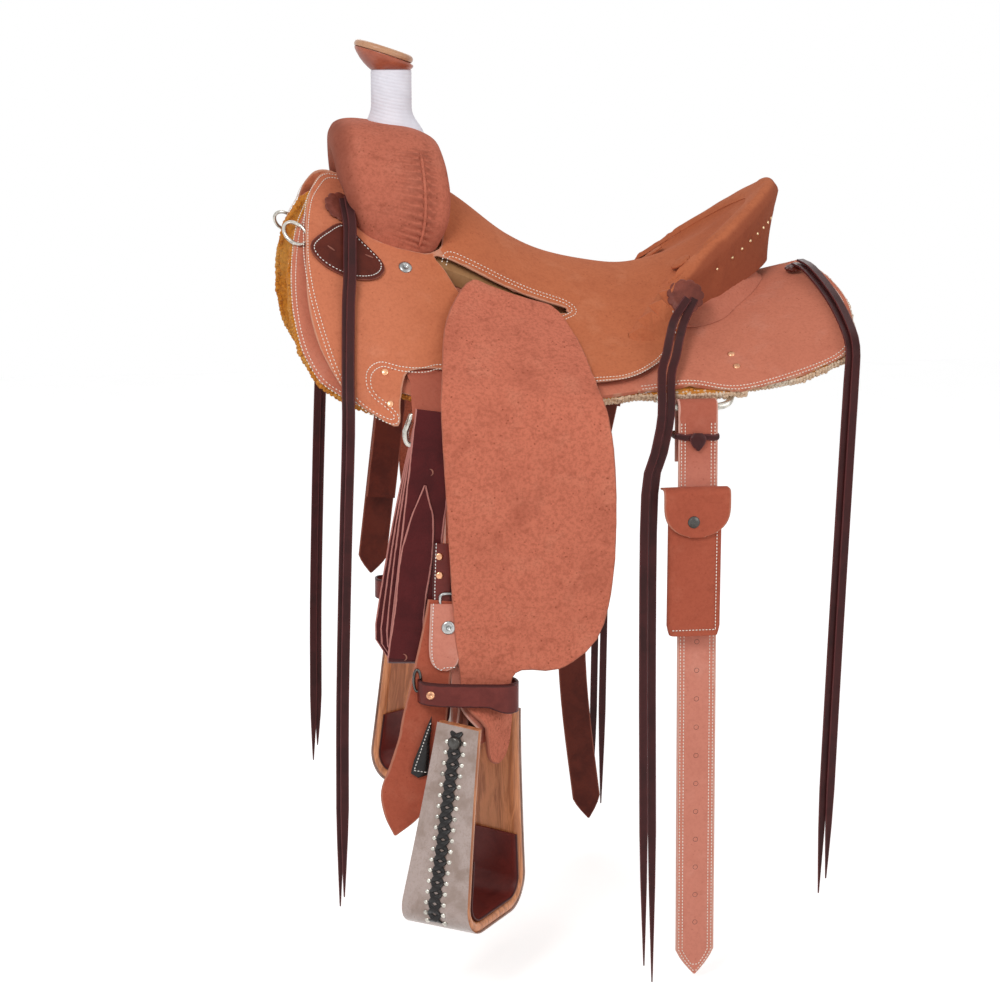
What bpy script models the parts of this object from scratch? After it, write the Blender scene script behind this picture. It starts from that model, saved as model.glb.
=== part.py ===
"""Ranch roping saddle on a slick-fork tree, with its rigging, fenders, stirrups and straps.

Sizes are in millimetres and new_object() brings them to metres. The front is -X, the rider's
left (the near side) is -Y and +Z is up. The origin is the point on the ridge line where the
lined underside rests. Leather that lies on the horse is laid out flat in two coordinates: x
along the horse, and s, the distance down the side from the ridge line. The surface functions
bend it to shape.
"""

import math

import bmesh
import bpy
from mathutils import Vector

MM = 0.001

# Driving dimensions
SKIRT_THICK = 5.0
FLEECE_THICK = 10.0
RIGGING_THICK = 4.0
SEAT_THICK = 4.0
FENDER_THICK = 5.0
STRAP_THICK = 3.2
LAYER_GAP = 1.5
FIT_GAP = 0.6
FOOT_GAP = 2.0
GRID_X = 40.0
GRID_S = 40.0
RIDGE_SPLIT = 4.5

HORN_X = -227.5
HORN_NECK_RADIUS = 26.5
HORN_FLARE_RADIUS = 31.0
HORN_POST_RADIUS = 15.0
HORN_CAP_RADIUS = 40.0
HORN_CAP_TILT = math.radians(17.5)
HORN_CAP_Z = 353.0
HORN_CAP_FORWARD = 11.0
HORN_NECK_TOP = 334.0
HORN_POST_DEPTH = 24.0

FORK_LEATHER = 4.0
FORK_FOOT_Z = 103.0
FORK_TOP_Z = 262.0
CANTLE_RISE = 88.0
CANTLE_RIM_X = 280.0
CANTLE_HALF_WIDTH = 172.0
CANTLE_REACH = 126.0
CANTLE_CURVE = 0.0338
SEAT_DEEP_X = 60.0
RIM_LEVEL = 8.0
RIM_FALL = 45.0

STRING_WIDTH = 11.0
STRING_THICK = 3.0

FENDER_SWING_X = -98.0
FENDER_SWING_Y = -120.0
FENDER_SWING_Z = 45.0
FENDER_CLEAR = 4.0
FENDER_STANDOFF = 21.0
FENDER_BREAK_S = 300.0
FENDER_BEND = 150.0
FENDER_FOOT_S = 640.0
FENDER_FOOT_Y = 292.5
FENDER_FOOT_Z = -424.0
TWIST_TOP_Z = -436.0
TWIST_BOTTOM_Z = -480.0
PLY_STRAIGHT_Z = -400.0
PLY_LEAN = 0.08
PLY_GAP = 3.2
STIRRUP_LEATHER_WIDTH = 56.0
HOBBLE_Z = -441.0
HOBBLE_HALF = 63.0
HOBBLE_DEPTH = 25.0
HOBBLE_WIDTH = 30.0
HOBBLE_SHIFT = -14.0
HOBBLE_OUT = 5.0
STIRRUP_TURN = math.radians(54.0)
BOLT_X = -152.0
BOLT_Y = 282.0
BOLT_Z = -490.0
STIRRUP_LEAN = 0.085
BOLT_RADIUS = 5.0
ROLLER_RADIUS = 12.0
STIRRUP_TOP_WIDTH = 58.0
STIRRUP_TREAD_WIDTH = 98.0
STIRRUP_HEIGHT = 266.0
STIRRUP_INNER_TOP = 88.0
STIRRUP_INNER_TREAD = 132.0
STIRRUP_WALL = 13.0
STIRRUP_TOP = 20.0
STIRRUP_BOTTOM = STIRRUP_TOP - STIRRUP_HEIGHT + STIRRUP_WALL / 2
STIRRUP_CORNER = 34.0
TREAD_COVER_THICK = 2.8
TREAD_COVER_HEIGHT = 92.0
BOLT_HEAD_RADIUS = 8.5
BOLT_HEAD_HEIGHT = 6.0

RING_X = -205.0
RING_WIRE = 4.0
RING_WIDTH = 76.0
RING_HEIGHT = 46.0
RING_BAR_S = 353.0
RING_TURN = math.radians(10.0)
RIGGING_WIDTH = 50.0
DEE_X = 129.0
DEE_WIRE = 4.5
DEE_WIDTH = 106.0
DEE_TOP_S = 246.0
DEE_BOTTOM_S = 298.0
DEE_LAYER = -SKIRT_THICK - LAYER_GAP - DEE_WIRE - 2.0

LATIGO_WIDTH = 52.0
LATIGO_TOP_Z = -82.0
LATIGO_FOLD_Z = -392.0
LATIGO_OUTER = 13.5
LATIGO_LEAN = 0.12
BILLET_WIDTH = 51.0
BILLET_DRIFT = 0.010
BILLET_SLACK = 3.5
FAR_BILLET_TIP_Z = -808.0
FAR_BILLET_WIDTH = 43.0
FAR_BILLET_BOW = 45.0
POUCH_SHIFT = -5.0
POUCH_WIDTH = 68.0
POUCH_DEPTH = 20.0
POUCH_TOP_Z = -190.0
POUCH_BOTTOM_Z = -374.0
FLAP_WIDTH = 86.0
FLAP_DROP = 55.0
BREAST_DEE_X = -364.0
BREAST_DEE_S = 172.0
BREAST_DEE_WIRE = 2.4
ROSETTE_RADIUS = 15.0
ROSETTE_LIFT = 5.2
ROSETTE_SCALLOPS = 11
ROSETTE_MID = (157.0, 84.0)
ROSETTE_REAR = (317.0, 46.0)
BILLET_TIP_Z = -839.0
BILLET_HOLE_PITCH = 38.0
BILLET_HOLES = 11
FAR_BILLET_HOLES = 7
OFF_BILLET_WIDTH = 44.0
OFF_BILLET_PITCH = 32.0
OFF_BILLET_HOLES = 3
HOLE_RADIUS = 2.4
POUCH_WALL = 2.6
POUCH_CORNER = 7.0

SIDES = (("near", 1), ("far", -1))

# Stations along the horse: x, height of the ridge line, slope at the ridge, slope at REACH.
REACH = 360.0
STATIONS = (
    (-420.0, 268.0, 38.0, 68.0),
    (-330.0, 232.0, 36.0, 67.0),
    (-250.0, 178.0, 29.0, 64.0),
    (-150.0, 104.0, 18.0, 56.0),
    (-50.0, 52.0, 10.0, 47.0),
    (50.0, 35.0, 8.0, 44.0),
    (150.0, 42.0, 8.0, 44.0),
    (250.0, 60.0, 8.0, 46.0),
    (390.0, 90.0, 9.0, 48.0),
)
# How far the seat stands above the lower leathers on the centre line, along x.
SEAT_LIFT = (
    (-330.0, 0.0),
    (-290.0, 2.0),
    (-250.0, 14.0),
    (-205.0, 38.0),
    (-160.0, 58.0),
    (-82.0, 45.0),
    (0.0, 38.0),
    (90.0, 31.0),
    (160.0, 27.0),
    (230.0, 20.0),
    (300.0, 14.0),
)
SEAT_LIFT_REACH = 190.0


def through(stations, x, column):
    """Smooth value of a column at x, through the stations."""
    last = len(stations) - 1
    i = 0
    while i < last - 1 and x > stations[i + 1][0]:
        i += 1

    def slope(j):
        a, b = stations[max(j - 1, 0)], stations[min(j + 1, last)]
        return (b[column] - a[column]) / (b[0] - a[0])

    run = stations[i + 1][0] - stations[i][0]
    t = (x - stations[i][0]) / run
    t2, t3 = t * t, t * t * t
    return (
        (2 * t3 - 3 * t2 + 1) * stations[i][column]
        + (t3 - 2 * t2 + t) * run * slope(i)
        + (3 * t2 - 2 * t3) * stations[i + 1][column]
        + (t3 - t2) * run * slope(i + 1)
    )


def ease(share):
    """Share from 0 to 1 with a level start and end."""
    share = min(1.0, max(0.0, share))
    return share * share * (3 - 2 * share)


def station_at(x):
    """Ridge height, slope at the ridge and slope change per millimetre at x."""
    at_ridge = math.radians(through(STATIONS, x, 2))
    at_reach = math.radians(through(STATIONS, x, 3))
    return through(STATIONS, x, 1), at_ridge, (at_reach - at_ridge) / REACH


def barrel(x, s):
    """Outer face of the skirt leather at x, s; near side for s over 0."""
    ridge, start, rate = station_at(x)
    slope = start + rate * abs(s)
    y = (math.sin(slope) - math.sin(start)) / rate
    z = ridge - (math.cos(start) - math.cos(slope)) / rate
    return Vector((x, -math.copysign(y, s), z))


def s_at(x, y):
    """Distance s at which the barrel reaches y."""
    _, start, rate = station_at(x)
    slope = math.asin(min(0.999, rate * abs(y) + math.sin(start)))
    return math.copysign((slope - start) / rate, -y)


def normal_of(surface, x, s):
    """Unit normal of a surface function, upwards."""
    step = 0.5
    along = surface(x + step, s) - surface(x - step, s)
    down = surface(x, s + step) - surface(x, s - step)
    normal = along.cross(down).normalized()
    return normal if normal.z > 0 else -normal


def layer(offset):
    """Surface function at an offset from the barrel."""
    return lambda x, s: barrel(x, s) + normal_of(barrel, x, s) * offset


def seat_lift(x, s):
    fade = max(0.0, 1 - (s / SEAT_LIFT_REACH) ** 2)
    return through(SEAT_LIFT, x, 1) * fade * fade


def rim_x(y):
    """Line of the cantle rim in plan."""
    return CANTLE_RIM_X - CANTLE_CURVE * abs(y) ** 1.7


def dish_rise(x, y):
    """Height that the dished back of the seat adds in front of the cantle rim."""
    if x <= SEAT_DEEP_X or abs(y) >= CANTLE_HALF_WIDTH:
        return 0.0
    rim = rim_x(y)
    share = min(1.0, (x - SEAT_DEEP_X) / max(rim - SEAT_DEEP_X, 1.0))
    if x > rim + RIM_LEVEL:
        share = max(0.0, 1 - (x - rim - RIM_LEVEL) / RIM_FALL)
    return CANTLE_RISE * (1 - (y / CANTLE_HALF_WIDTH) ** 2) ** 0.45 * share**2.2


def seat_base(x, s):
    point = barrel(x, s)
    point.z += seat_lift(x, s) + dish_rise(x, point.y)
    return point


def seat_layer(offset):
    """Surface function at an offset from the shaped seat."""
    return lambda x, s: seat_base(x, s) + normal_of(seat_base, x, s) * offset


def bar_top(x, s):
    """Upper face of the tree bars."""
    point = barrel(x, s) + normal_of(barrel, x, s) * (LAYER_GAP + RIGGING_THICK)
    point.z += 0.7 * seat_lift(x, s)
    return point


def height_at(surface, x, y):
    """Height of a surface function above a point in plan."""
    s = s_at(x, y)
    for _ in range(4):
        step = (abs(y) - abs(surface(x, s).y)) * 1.1
        s += step if s > 0 else -step
    return surface(x, s).z


def ground_bottom(x, s):
    point = bar_top(x, s)
    point.z += 3 * FIT_GAP
    return point


SEAT_BOTTOM = 2 * LAYER_GAP + RIGGING_THICK
SEAT_TOP = SEAT_BOTTOM + SEAT_THICK


def smooth_line(points, steps=3, closed=False):
    """Points along a smooth curve through the given ones."""
    points = [Vector(p) for p in points]
    count = len(points)
    line = []
    for i in range(count if closed else count - 1):
        if closed:
            a, b, c, d = (points[(i + k) % count] for k in (-1, 0, 1, 2))
        else:
            b, c = points[i], points[i + 1]
            a = points[i - 1] if i else b * 2 - c
            d = points[i + 2] if i + 2 < count else c * 2 - b
        for k in range(steps):
            t = k / steps
            line.append(
                0.5
                * (
                    2 * b
                    + (c - a) * t
                    + (2 * a - 5 * b + 4 * c - d) * t * t
                    + (3 * b - a - 3 * c + d) * t**3
                )
            )
    if not closed:
        line.append(points[-1])
    return line


def material(name, colour, roughness, metallic=0.0):
    made = bpy.data.materials.get(name)
    if made is None:
        made = bpy.data.materials.new(name)
        made.use_nodes = True
        shader = made.node_tree.nodes["Principled BSDF"]
        shader.inputs["Base Color"].default_value = (*colour, 1.0)
        shader.inputs["Roughness"].default_value = roughness
        shader.inputs["Metallic"].default_value = metallic
    return made


def roughout():
    return material("roughout_leather", (0.50, 0.20, 0.11), 0.85)


def fork_hide():
    return material("fork_leather", (0.33, 0.13, 0.08), 0.8)


def oxblood():
    return material("oxblood_leather", (0.09, 0.02, 0.02), 0.5)


def string_leather():
    return material("string_leather", (0.03, 0.01, 0.012), 0.45)


def brown_leather():
    return material("brown_leather", (0.12, 0.035, 0.02), 0.5)


def fleece_pile():
    return material("fleece", (0.62, 0.32, 0.06), 1.0)


def wood():
    return material("wood", (0.26, 0.13, 0.06), 0.6)


def nickel():
    return material("nickel", (0.62, 0.60, 0.55), 0.3, 1.0)


def steel():
    return material("steel", (0.45, 0.45, 0.45), 0.4, 1.0)


def rawhide():
    return material("rawhide", (0.55, 0.30, 0.14), 0.5)


def white_wrap():
    return material("white_wrap", (0.8, 0.8, 0.8), 0.7)


def finish(bm, name, look, pivot=(0.0, 0.0, 0.0), sharp=35.0):
    """Object from a bmesh in millimetres, with its origin at the pivot."""
    bmesh.ops.remove_doubles(bm, verts=bm.verts, dist=1e-4)
    bmesh.ops.triangulate(bm, faces=[f for f in bm.faces if len(f.verts) > 4])
    bmesh.ops.recalc_face_normals(bm, faces=bm.faces)
    pivot = Vector(pivot)
    for v in bm.verts:
        v.co = (v.co - pivot) * MM
    mesh = bpy.data.meshes.new(name)
    bm.to_mesh(mesh)
    bm.free()
    mesh.shade_smooth()
    mesh.set_sharp_from_angle(angle=math.radians(sharp))
    mesh.materials.append(look)
    made = bpy.data.objects.new(name, mesh)
    made.location = pivot * MM
    bpy.context.scene.collection.objects.link(made)
    return made


def turned_over(points, side):
    """Points given for the near side, mirrored for the far one."""
    return [Vector((p[0], p[1] * side, p[2])) for p in points]


def cut(target, cutter):
    """Cuts the solid cutter out of the target."""
    cutter.hide_render = True
    cutter.display_type = "WIRE"
    modifier = target.modifiers.new("Cut", "BOOLEAN")
    modifier.operation = "DIFFERENCE"
    modifier.solver = "EXACT"
    modifier.object = cutter


def grid_line(bm, axis, place):
    """Cuts a flat outline along one line of constant x or s."""
    direction = Vector((1, 0, 0)) if axis == 0 else Vector((0, 1, 0))
    bmesh.ops.bisect_plane(
        bm,
        geom=bm.verts[:] + bm.edges[:] + bm.faces[:],
        plane_co=direction * place,
        plane_no=direction,
        dist=0.3,
    )


def grid_cuts(bm, low, high, axis, step):
    k = math.ceil(low / step)
    while k * step < high:
        grid_line(bm, axis, k * step)
        k += 1


def sheet(name, outline, bottom, top, look, side=1, pivot=(0.0, 0.0, 0.0)):
    """Leather cut to an outline in x, s and laid between two surface functions."""
    bm = bmesh.new()
    bm.faces.new([bm.verts.new((p[0], p[1] * side, 0)) for p in outline])
    xs = [v.co.x for v in bm.verts]
    ss = [v.co.y for v in bm.verts]
    grid_cuts(bm, min(xs), max(xs), 0, GRID_X)
    grid_cuts(bm, min(ss), max(ss), 1, GRID_S)
    bmesh.ops.triangulate(bm, faces=bm.faces)
    raised = bmesh.ops.extrude_face_region(bm, geom=bm.faces[:], use_keep_orig=True)
    upper = {e for e in raised["geom"] if isinstance(e, bmesh.types.BMVert)}
    for v in bm.verts:
        v.co = (top if v in upper else bottom)(v.co.x, v.co.y)
    return finish(bm, name, look, pivot)


def loft(name, rings, look, pivot=(0.0, 0.0, 0.0), closed=False, sharp=35.0):
    """Solid through rings of points; closed joins the last ring to the first."""
    bm = bmesh.new()
    loops = [[bm.verts.new(p) for p in ring] for ring in rings]
    count = len(rings[0])
    joins = list(zip(loops, loops[1:]))
    if closed:
        joins.append((loops[-1], loops[0]))
    for a, b in joins:
        for k in range(count):
            n = (k + 1) % count
            bm.faces.new((a[k], a[n], b[n], b[k]))
    if not closed:
        bm.faces.new(loops[0])
        bm.faces.new(loops[-1])
    return finish(bm, name, look, pivot, sharp)


def strap_rings(path, across, widths, thick):
    """Flat sections along a path; across and widths may change from point to point."""
    path = [Vector(p) for p in path]
    rings = []
    for i, point in enumerate(path):
        tangent = path[min(i + 1, len(path) - 1)] - path[max(i - 1, 0)]
        side = Vector(across[i] if isinstance(across, list) else across)
        tangent.normalize()
        side = (side - tangent * side.dot(tangent)).normalized()
        face = tangent.cross(side)
        half = (widths[i] if isinstance(widths, (list, tuple)) else widths) / 2
        rings.append(
            [
                point + side * a * half + face * b * thick / 2
                for a, b in ((-1, -1), (1, -1), (1, 1), (-1, 1))
            ]
        )
    return rings


def strap(name, path, across, widths, thick, look, pivot=(0.0, 0.0, 0.0)):
    return loft(name, strap_rings(path, across, widths, thick), look, pivot)


def tube_rings(path, radius, sides, closed):
    path = [Vector(p) for p in path]
    count = len(path)
    rings = []
    plane = sum(
        ((path[i] - path[0]).cross(path[(i + 1) % count] - path[0]) for i in range(count)),
        Vector(),
    ).normalized()
    for i, point in enumerate(path):
        before = path[i - 1] if closed or i else point
        after = path[(i + 1) % count] if closed or i < count - 1 else point
        tangent = (after - before).normalized()
        out = tangent.cross(plane).normalized()
        rings.append(
            [
                point
                + out * math.cos(2 * math.pi * k / sides) * radius
                + plane * math.sin(2 * math.pi * k / sides) * radius
                for k in range(sides)
            ]
        )
    return rings


def turned_rings(profile, centre, axis, sides):
    """Rings of a turned piece: profile of (radius, height) along an axis."""
    axis = Vector(axis).normalized()
    first = axis.orthogonal().normalized()
    second = axis.cross(first)
    rings = []
    for radius, height in profile:
        ring = []
        for k in range(sides):
            angle = 2 * math.pi * k / sides
            ring.append(
                Vector(centre)
                + axis * height
                + first * math.cos(angle) * radius
                + second * math.sin(angle) * radius
            )
        rings.append(ring)
    return rings


def turned(name, profile, centre, axis, look, sides=20, pivot=(0.0, 0.0, 0.0)):
    """Turned piece, solid, or hollow where the profile comes back to its start."""
    closed = profile[0] == profile[-1]
    if closed:
        profile = profile[:-1]
    rings = turned_rings(profile, centre, axis, sides)
    return loft(name, rings, look, pivot, closed)


# Outlines in x, s on the near side
SKIRT_OUTLINE = (
    (-130, 22),
    (-165, 30),
    (-225, 34),
    (-293, 37),
    (-342, 106),
    (-363, 165),
    (-372, 228),
    (-372, 283),
    (-363, 333),
    (-342, 368),
    (-305, 379),
    (-260, 372),
    (-252, 338),
    (-160, 330),
    (-80, 300),
    (58, 272),
    (124, 268),
    (184, 290),
    (264, 283),
    (327, 264),
    (351, 223),
    (358, 159),
    (352, 91),
    (343, 40),
    (334, RIDGE_SPLIT),
    (250, RIDGE_SPLIT),
    (215, 22),
)
SEAT_HALF_OUTLINE = (
    (-172, 0),
    (-190, 45),
    (-240, 56),
    (-290, 62),
    (-301, 85),
    (-327, 108),
    (-348, 159),
    (-355, 214),
    (-355, 269),
    (-344, 318),
    (-324, 355),
    (-303, 376),
    (-275, 384),
    (-247, 386),
    (-243, 353),
    (-236, 317),
    (-223, 303),
    (-187, 288),
    (-120, 282),
    (4, 267),
    (61, 250),
    (101, 216),
    (119, 170),
    (142, 153),
)
BAR_OUTLINE = (
    (-315, 50),
    (-325, 85),
    (-300, 118),
    (-200, 126),
    (0, 112),
    (180, 122),
    (190, 108),
    (228, 70),
    (252, 34),
    (150, 30),
    (-100, 30),
    (-180, 44),
)
GROUND_OUTLINE = (
    (-128, -44),
    (-132, 0),
    (-128, 44),
    (-60, 92),
    (60, 92),
    (138, 80),
    (142, 0),
    (138, -80),
    (60, -92),
    (-60, -92),
)
CONCHO_OUTLINE = (
    (-306, 135),
    (-328, 158),
    (-349, 191),
    (-334, 212),
    (-299, 215),
    (-266, 196),
    (-256, 169),
    (-280, 149),
)
SLOT_OUTLINE = (
    (-182, 118),
    (-174, 134),
    (-150, 162),
    (-128, 146),
    (-24, 138),
    (-16, 131),
    (-24, 125),
    (-100, 119),
)

FENDER_OUTLINE = (
    (-132, 128),
    (-160, 158),
    (-182, 215),
    (-192, 290),
    (-196, 380),
    (-190, 500),
    (-183, 590),
    (-176, 640),
    (-178, 700),
    (-170, 735),
    (-145, 748),
    (-122, 735),
    (-112, 700),
    (-112, 645),
    (-98, 628),
    (-50, 628),
    (-2, 596),
    (16, 540),
    (19, 470),
    (14, 390),
    (0, 290),
    (-12, 200),
    (-30, 145),
    (-60, 130),
    (-100, 126),
)


def lining_outline():
    """Outline of the skirt with a notch in its lower edge for the rear dee."""
    notch = DEE_WIDTH / 2 + 12
    outline = []
    for x, s in SKIRT_OUTLINE:
        if abs(x - DEE_X) < notch + 4 and s > DEE_TOP_S:
            continue
        outline.append((x, s))
        if (x, s) == (-80, 300):
            outline += [
                (DEE_X - notch, 270),
                (DEE_X - notch, DEE_TOP_S - 12),
                (DEE_X + notch, DEE_TOP_S - 12),
                (DEE_X + notch, 288),
            ]
    return outline


def leathers(label, side):
    """Skirt, lining, rigging plate and tree bar of one side."""
    sheet("skirt_" + label, SKIRT_OUTLINE, layer(-SKIRT_THICK), layer(0.0), roughout(), side)
    under = -SKIRT_THICK - LAYER_GAP
    lining = layer(under - FLEECE_THICK)
    sheet("fleece_" + label, lining_outline(), lining, layer(under), fleece_pile(), side)
    sheet("tree_bar_" + label, BAR_OUTLINE, layer(LAYER_GAP), bar_top, rawhide(), side)


def smooth_at(points, share):
    """Point at a share of a smooth open curve."""
    line = smooth_line([Vector((*p, 0)) for p in points], 8)
    place = share * (len(line) - 1)
    i = min(int(place), len(line) - 2)
    return (line[i] + (line[i + 1] - line[i]) * (place - i)).xy


# Half of the fork seen from the front, from its top to its foot: y, z of its outer and
# inner faces and, for the same places, the x of its front and rear.
FORK_OUTER = (
    (0, FORK_TOP_Z),
    (60, FORK_TOP_Z - 9),
    (103, 214),
    (118, 162),
    (106, FORK_FOOT_Z),
)
FORK_INNER = ((0, 212), (28, 206), (56, 176), (70, 140), (72, FORK_FOOT_Z))
FORK_FRONT = ((-306, 0), (-305, 0), (-300, 0), (-293, 0), (-282, 0))
FORK_REAR = ((-180, 0), (-174, 0), (-168, 0), (-168, 0), (-188, 0))
FORK_STEPS = 16
FORK_SIDES = 20


def fork_ring(u, offset):
    """Section of the fork at u: -1 near foot, 0 top, 1 far foot; offset grows it outwards."""
    swing = abs(u)
    sign = -1 if u < 0 else 1
    outer = smooth_at(FORK_OUTER, swing)
    inner = smooth_at(FORK_INNER, swing)
    front = smooth_at(FORK_FRONT, swing).x
    rear = smooth_at(FORK_REAR, swing).x
    middle = (outer + inner) / 2
    reach = (outer - inner) / 2
    half = (rear - front) / 2 + offset
    thick = reach.length + offset
    out = reach.normalized()
    top_slope = -0.16 * max(0.0, 1 - swing * 1.6)
    settle = ease((swing - 0.4) / 0.6)
    ring = []
    for k in range(FORK_SIDES):
        angle = 2 * math.pi * k / FORK_SIDES
        c, s = math.cos(angle), math.sin(angle)
        a = math.copysign(abs(c) ** 0.62, c) * half
        b = math.copysign(abs(s) ** 0.7, s) * thick
        y = middle.x + out.x * b
        z = middle.y + out.y * b + top_slope * a
        p = Vector(((front + rear) / 2 + a, sign * y, z))
        p.z += settle * (height_at(bar_top, p.x, p.y) - FORK_FOOT_Z)
        ring.append(p)
    return ring


def fork_rings(offset, foot_gap):
    """Sections from the near foot over the top to the far foot, ending on the bars."""
    rings = []
    for i in range(FORK_STEPS + 1):
        u = 2 * i / FORK_STEPS - 1
        ring = fork_ring(u, offset)
        rings.append(on_bars(ring, foot_gap) if abs(u) == 1 else ring)
    return rings


def on_bars(ring, gap):
    """The ring dropped straight down onto the tree bars."""
    return [Vector((p.x, p.y, height_at(bar_top, p.x, p.y) + gap)) for p in ring]


def foot_rings(ring, gap):
    """Rings that close a foot of the fork along the bars."""
    middle = sum(ring, Vector()) / len(ring)
    return [on_bars([middle.lerp(p, share) for p in ring], gap) for share in (0.1, 0.4, 0.7)]


def fork_cover():
    """Hide over the fork: the sections' outer wall, open towards the gullet and the feet."""
    outside = fork_rings(2 * FIT_GAP + FORK_LEATHER, FOOT_GAP)
    inside = fork_rings(2 * FIT_GAP, FOOT_GAP)
    keep = [k % FORK_SIDES for k in range(-3, 14)]
    rings = [
        [o[k] for k in keep] + [i[k] for k in reversed(keep)]
        for o, i in zip(outside, inside)
    ]
    cover = loft("fork_cover", rings, fork_hide(), sharp=50)
    post = turned_rings(
        ((HORN_POST_RADIUS + FIT_GAP, 0), (HORN_POST_RADIUS + FIT_GAP, 120)),
        (HORN_X, 0, 215),
        (0, 0, 1),
        16,
    )
    cut(cover, loft("horn_hole", post, steel()))
    return cover


def fork():
    rings = fork_rings(0.0, FOOT_GAP)
    near_foot = foot_rings(rings[0], FOOT_GAP)
    far_foot = foot_rings(rings[-1], FOOT_GAP)
    tree = loft("tree_fork", near_foot + rings + far_foot[::-1], wood(), sharp=50)
    post = turned_rings(
        ((HORN_POST_RADIUS + FIT_GAP, 0), (HORN_POST_RADIUS + FIT_GAP, 90)),
        (HORN_X, 0, FORK_TOP_Z - HORN_POST_DEPTH),
        (0, 0, 1),
        16,
    )
    cut(tree, loft("horn_socket", post, steel()))


def neck_ring(radius, z, sides=24):
    """Ring round the horn's neck, sloped like the cap."""
    ring = turned_rings(((radius, z),), (HORN_X, 0, 0), (0, 0, 1), sides)[0]
    for p in ring:
        p.z -= (p.x - HORN_X) * math.tan(HORN_CAP_TILT)
    return ring


def cap_rings(profile):
    """Rings of the tilted cap, facing the same way round as the neck's rings."""
    axis = Vector((math.sin(HORN_CAP_TILT), 0, math.cos(HORN_CAP_TILT)))
    centre = Vector((HORN_X - HORN_CAP_FORWARD, 0, HORN_CAP_Z))
    rings = []
    for radius, height in profile:
        ring = turned_rings(((radius, 0.0),), (0, 0, 0), (0, 0, 1), 24)[0]
        for p in ring:
            flat = Vector((p.x * math.cos(HORN_CAP_TILT), p.y, -p.x * math.sin(HORN_CAP_TILT)))
            p.xyz = centre + flat + axis * height
        rings.append(ring)
    return rings


def horn():
    """Post, wrapped neck, and tilted cap with its leather and rawhide rim."""
    r = HORN_POST_RADIUS
    bore = r + FIT_GAP
    disc = HORN_CAP_RADIUS - 7
    socket = FORK_TOP_Z - HORN_POST_DEPTH + FIT_GAP
    post = turned_rings(((r, socket),), (HORN_X, 0, 0), (0, 0, 1), 24)
    post.append(neck_ring(r, HORN_NECK_TOP + 3))
    loft("horn", post + cap_rings(((disc - 3, -4), (disc, -1), (disc, 4))), steel())
    bottom = FORK_TOP_Z - 8
    profile = (
        (bore, bottom),
        (HORN_FLARE_RADIUS + 4, bottom),
        (HORN_FLARE_RADIUS + 1, FORK_TOP_Z + 8),
        (HORN_NECK_RADIUS + 1.5, FORK_TOP_Z + 18),
        (HORN_NECK_RADIUS, FORK_TOP_Z + 32),
    )
    rings = turned_rings(profile, (HORN_X, 0, 0), (0, 0, 1), 24)
    rings += [neck_ring(HORN_NECK_RADIUS, HORN_NECK_TOP), neck_ring(bore, HORN_NECK_TOP)]
    wrap = loft("horn_wrap", rings, white_wrap(), closed=True)
    cut(wrap, loft("wrap_seat", fork_rings(3 * FIT_GAP + FORK_LEATHER, FIT_GAP), wood()))
    under = cap_rings(((disc + 5, -1), (disc + 5.5, -4), (disc - 1, -9)))
    under.append(neck_ring(HORN_NECK_RADIUS + 1, HORN_NECK_TOP + FIT_GAP))
    under.append(neck_ring(bore, HORN_NECK_TOP + FIT_GAP))
    under += cap_rings(((disc - 2.5, -4 - FIT_GAP), (disc + FIT_GAP, -1 - FIT_GAP)))
    loft("horn_cap_leather", under, material("cap_leather", (0.42, 0.10, 0.05), 0.5), closed=True)
    rim = (
        (0.5, 4 + FIT_GAP),
        (disc + FIT_GAP, 4 + FIT_GAP),
        (disc + FIT_GAP, -1 + FIT_GAP),
        (disc + 5.5, -1 + FIT_GAP),
        (disc + 7, 2.5),
        (disc + 6.4, 6.5),
        (disc + 3, 9.0),
        (0.5, 9.0),
    )
    loft("horn_cap_rim", cap_rings(rim), rawhide())


def seat():
    near = [Vector((*p, 0)) for p in SEAT_HALF_OUTLINE]
    rim = []
    for k in range(9):
        y = 138.0 * (1 - k / 8)
        x = rim_x(y)
        rim.append(Vector((x, s_at(x, -y), 0)))
    half = near + rim
    outline = [(p.x, p.y) for p in half] + [(p.x, -p.y) for p in reversed(half) if p.y > 0]
    leather = sheet(
        "seat_leather", outline, seat_layer(SEAT_BOTTOM), seat_layer(SEAT_TOP), roughout()
    )
    cutter = fork_rings(3 * FIT_GAP + FORK_LEATHER, -3.0)
    cut(leather, loft("fork_opening", cutter, wood()))
    for label, side in SIDES:
        low, high = seat_layer(-2.0), seat_layer(SEAT_TOP + 8)
        cut(leather, sheet("fender_slot_" + label, SLOT_OUTLINE, low, high, wood(), side))
    sheet(
        "ground_seat",
        GROUND_OUTLINE,
        ground_bottom,
        seat_layer(SEAT_BOTTOM - 5 * FIT_GAP),
        steel(),
    )


def cantle_section(y, front_gap, shrink):
    """Points of the cantle in one vertical plane: up the dish, over the rim and down the back."""
    top_x = rim_x(y) - shrink
    start = max(SEAT_DEEP_X + 40, top_x - 70)
    ring = []
    for k in range(6):
        x = start + (top_x - start) * k / 5
        s = s_at(x, y)
        p = seat_base(x, s)
        ring.append(Vector((x, y, p.z + front_gap)))
    return ring


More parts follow.
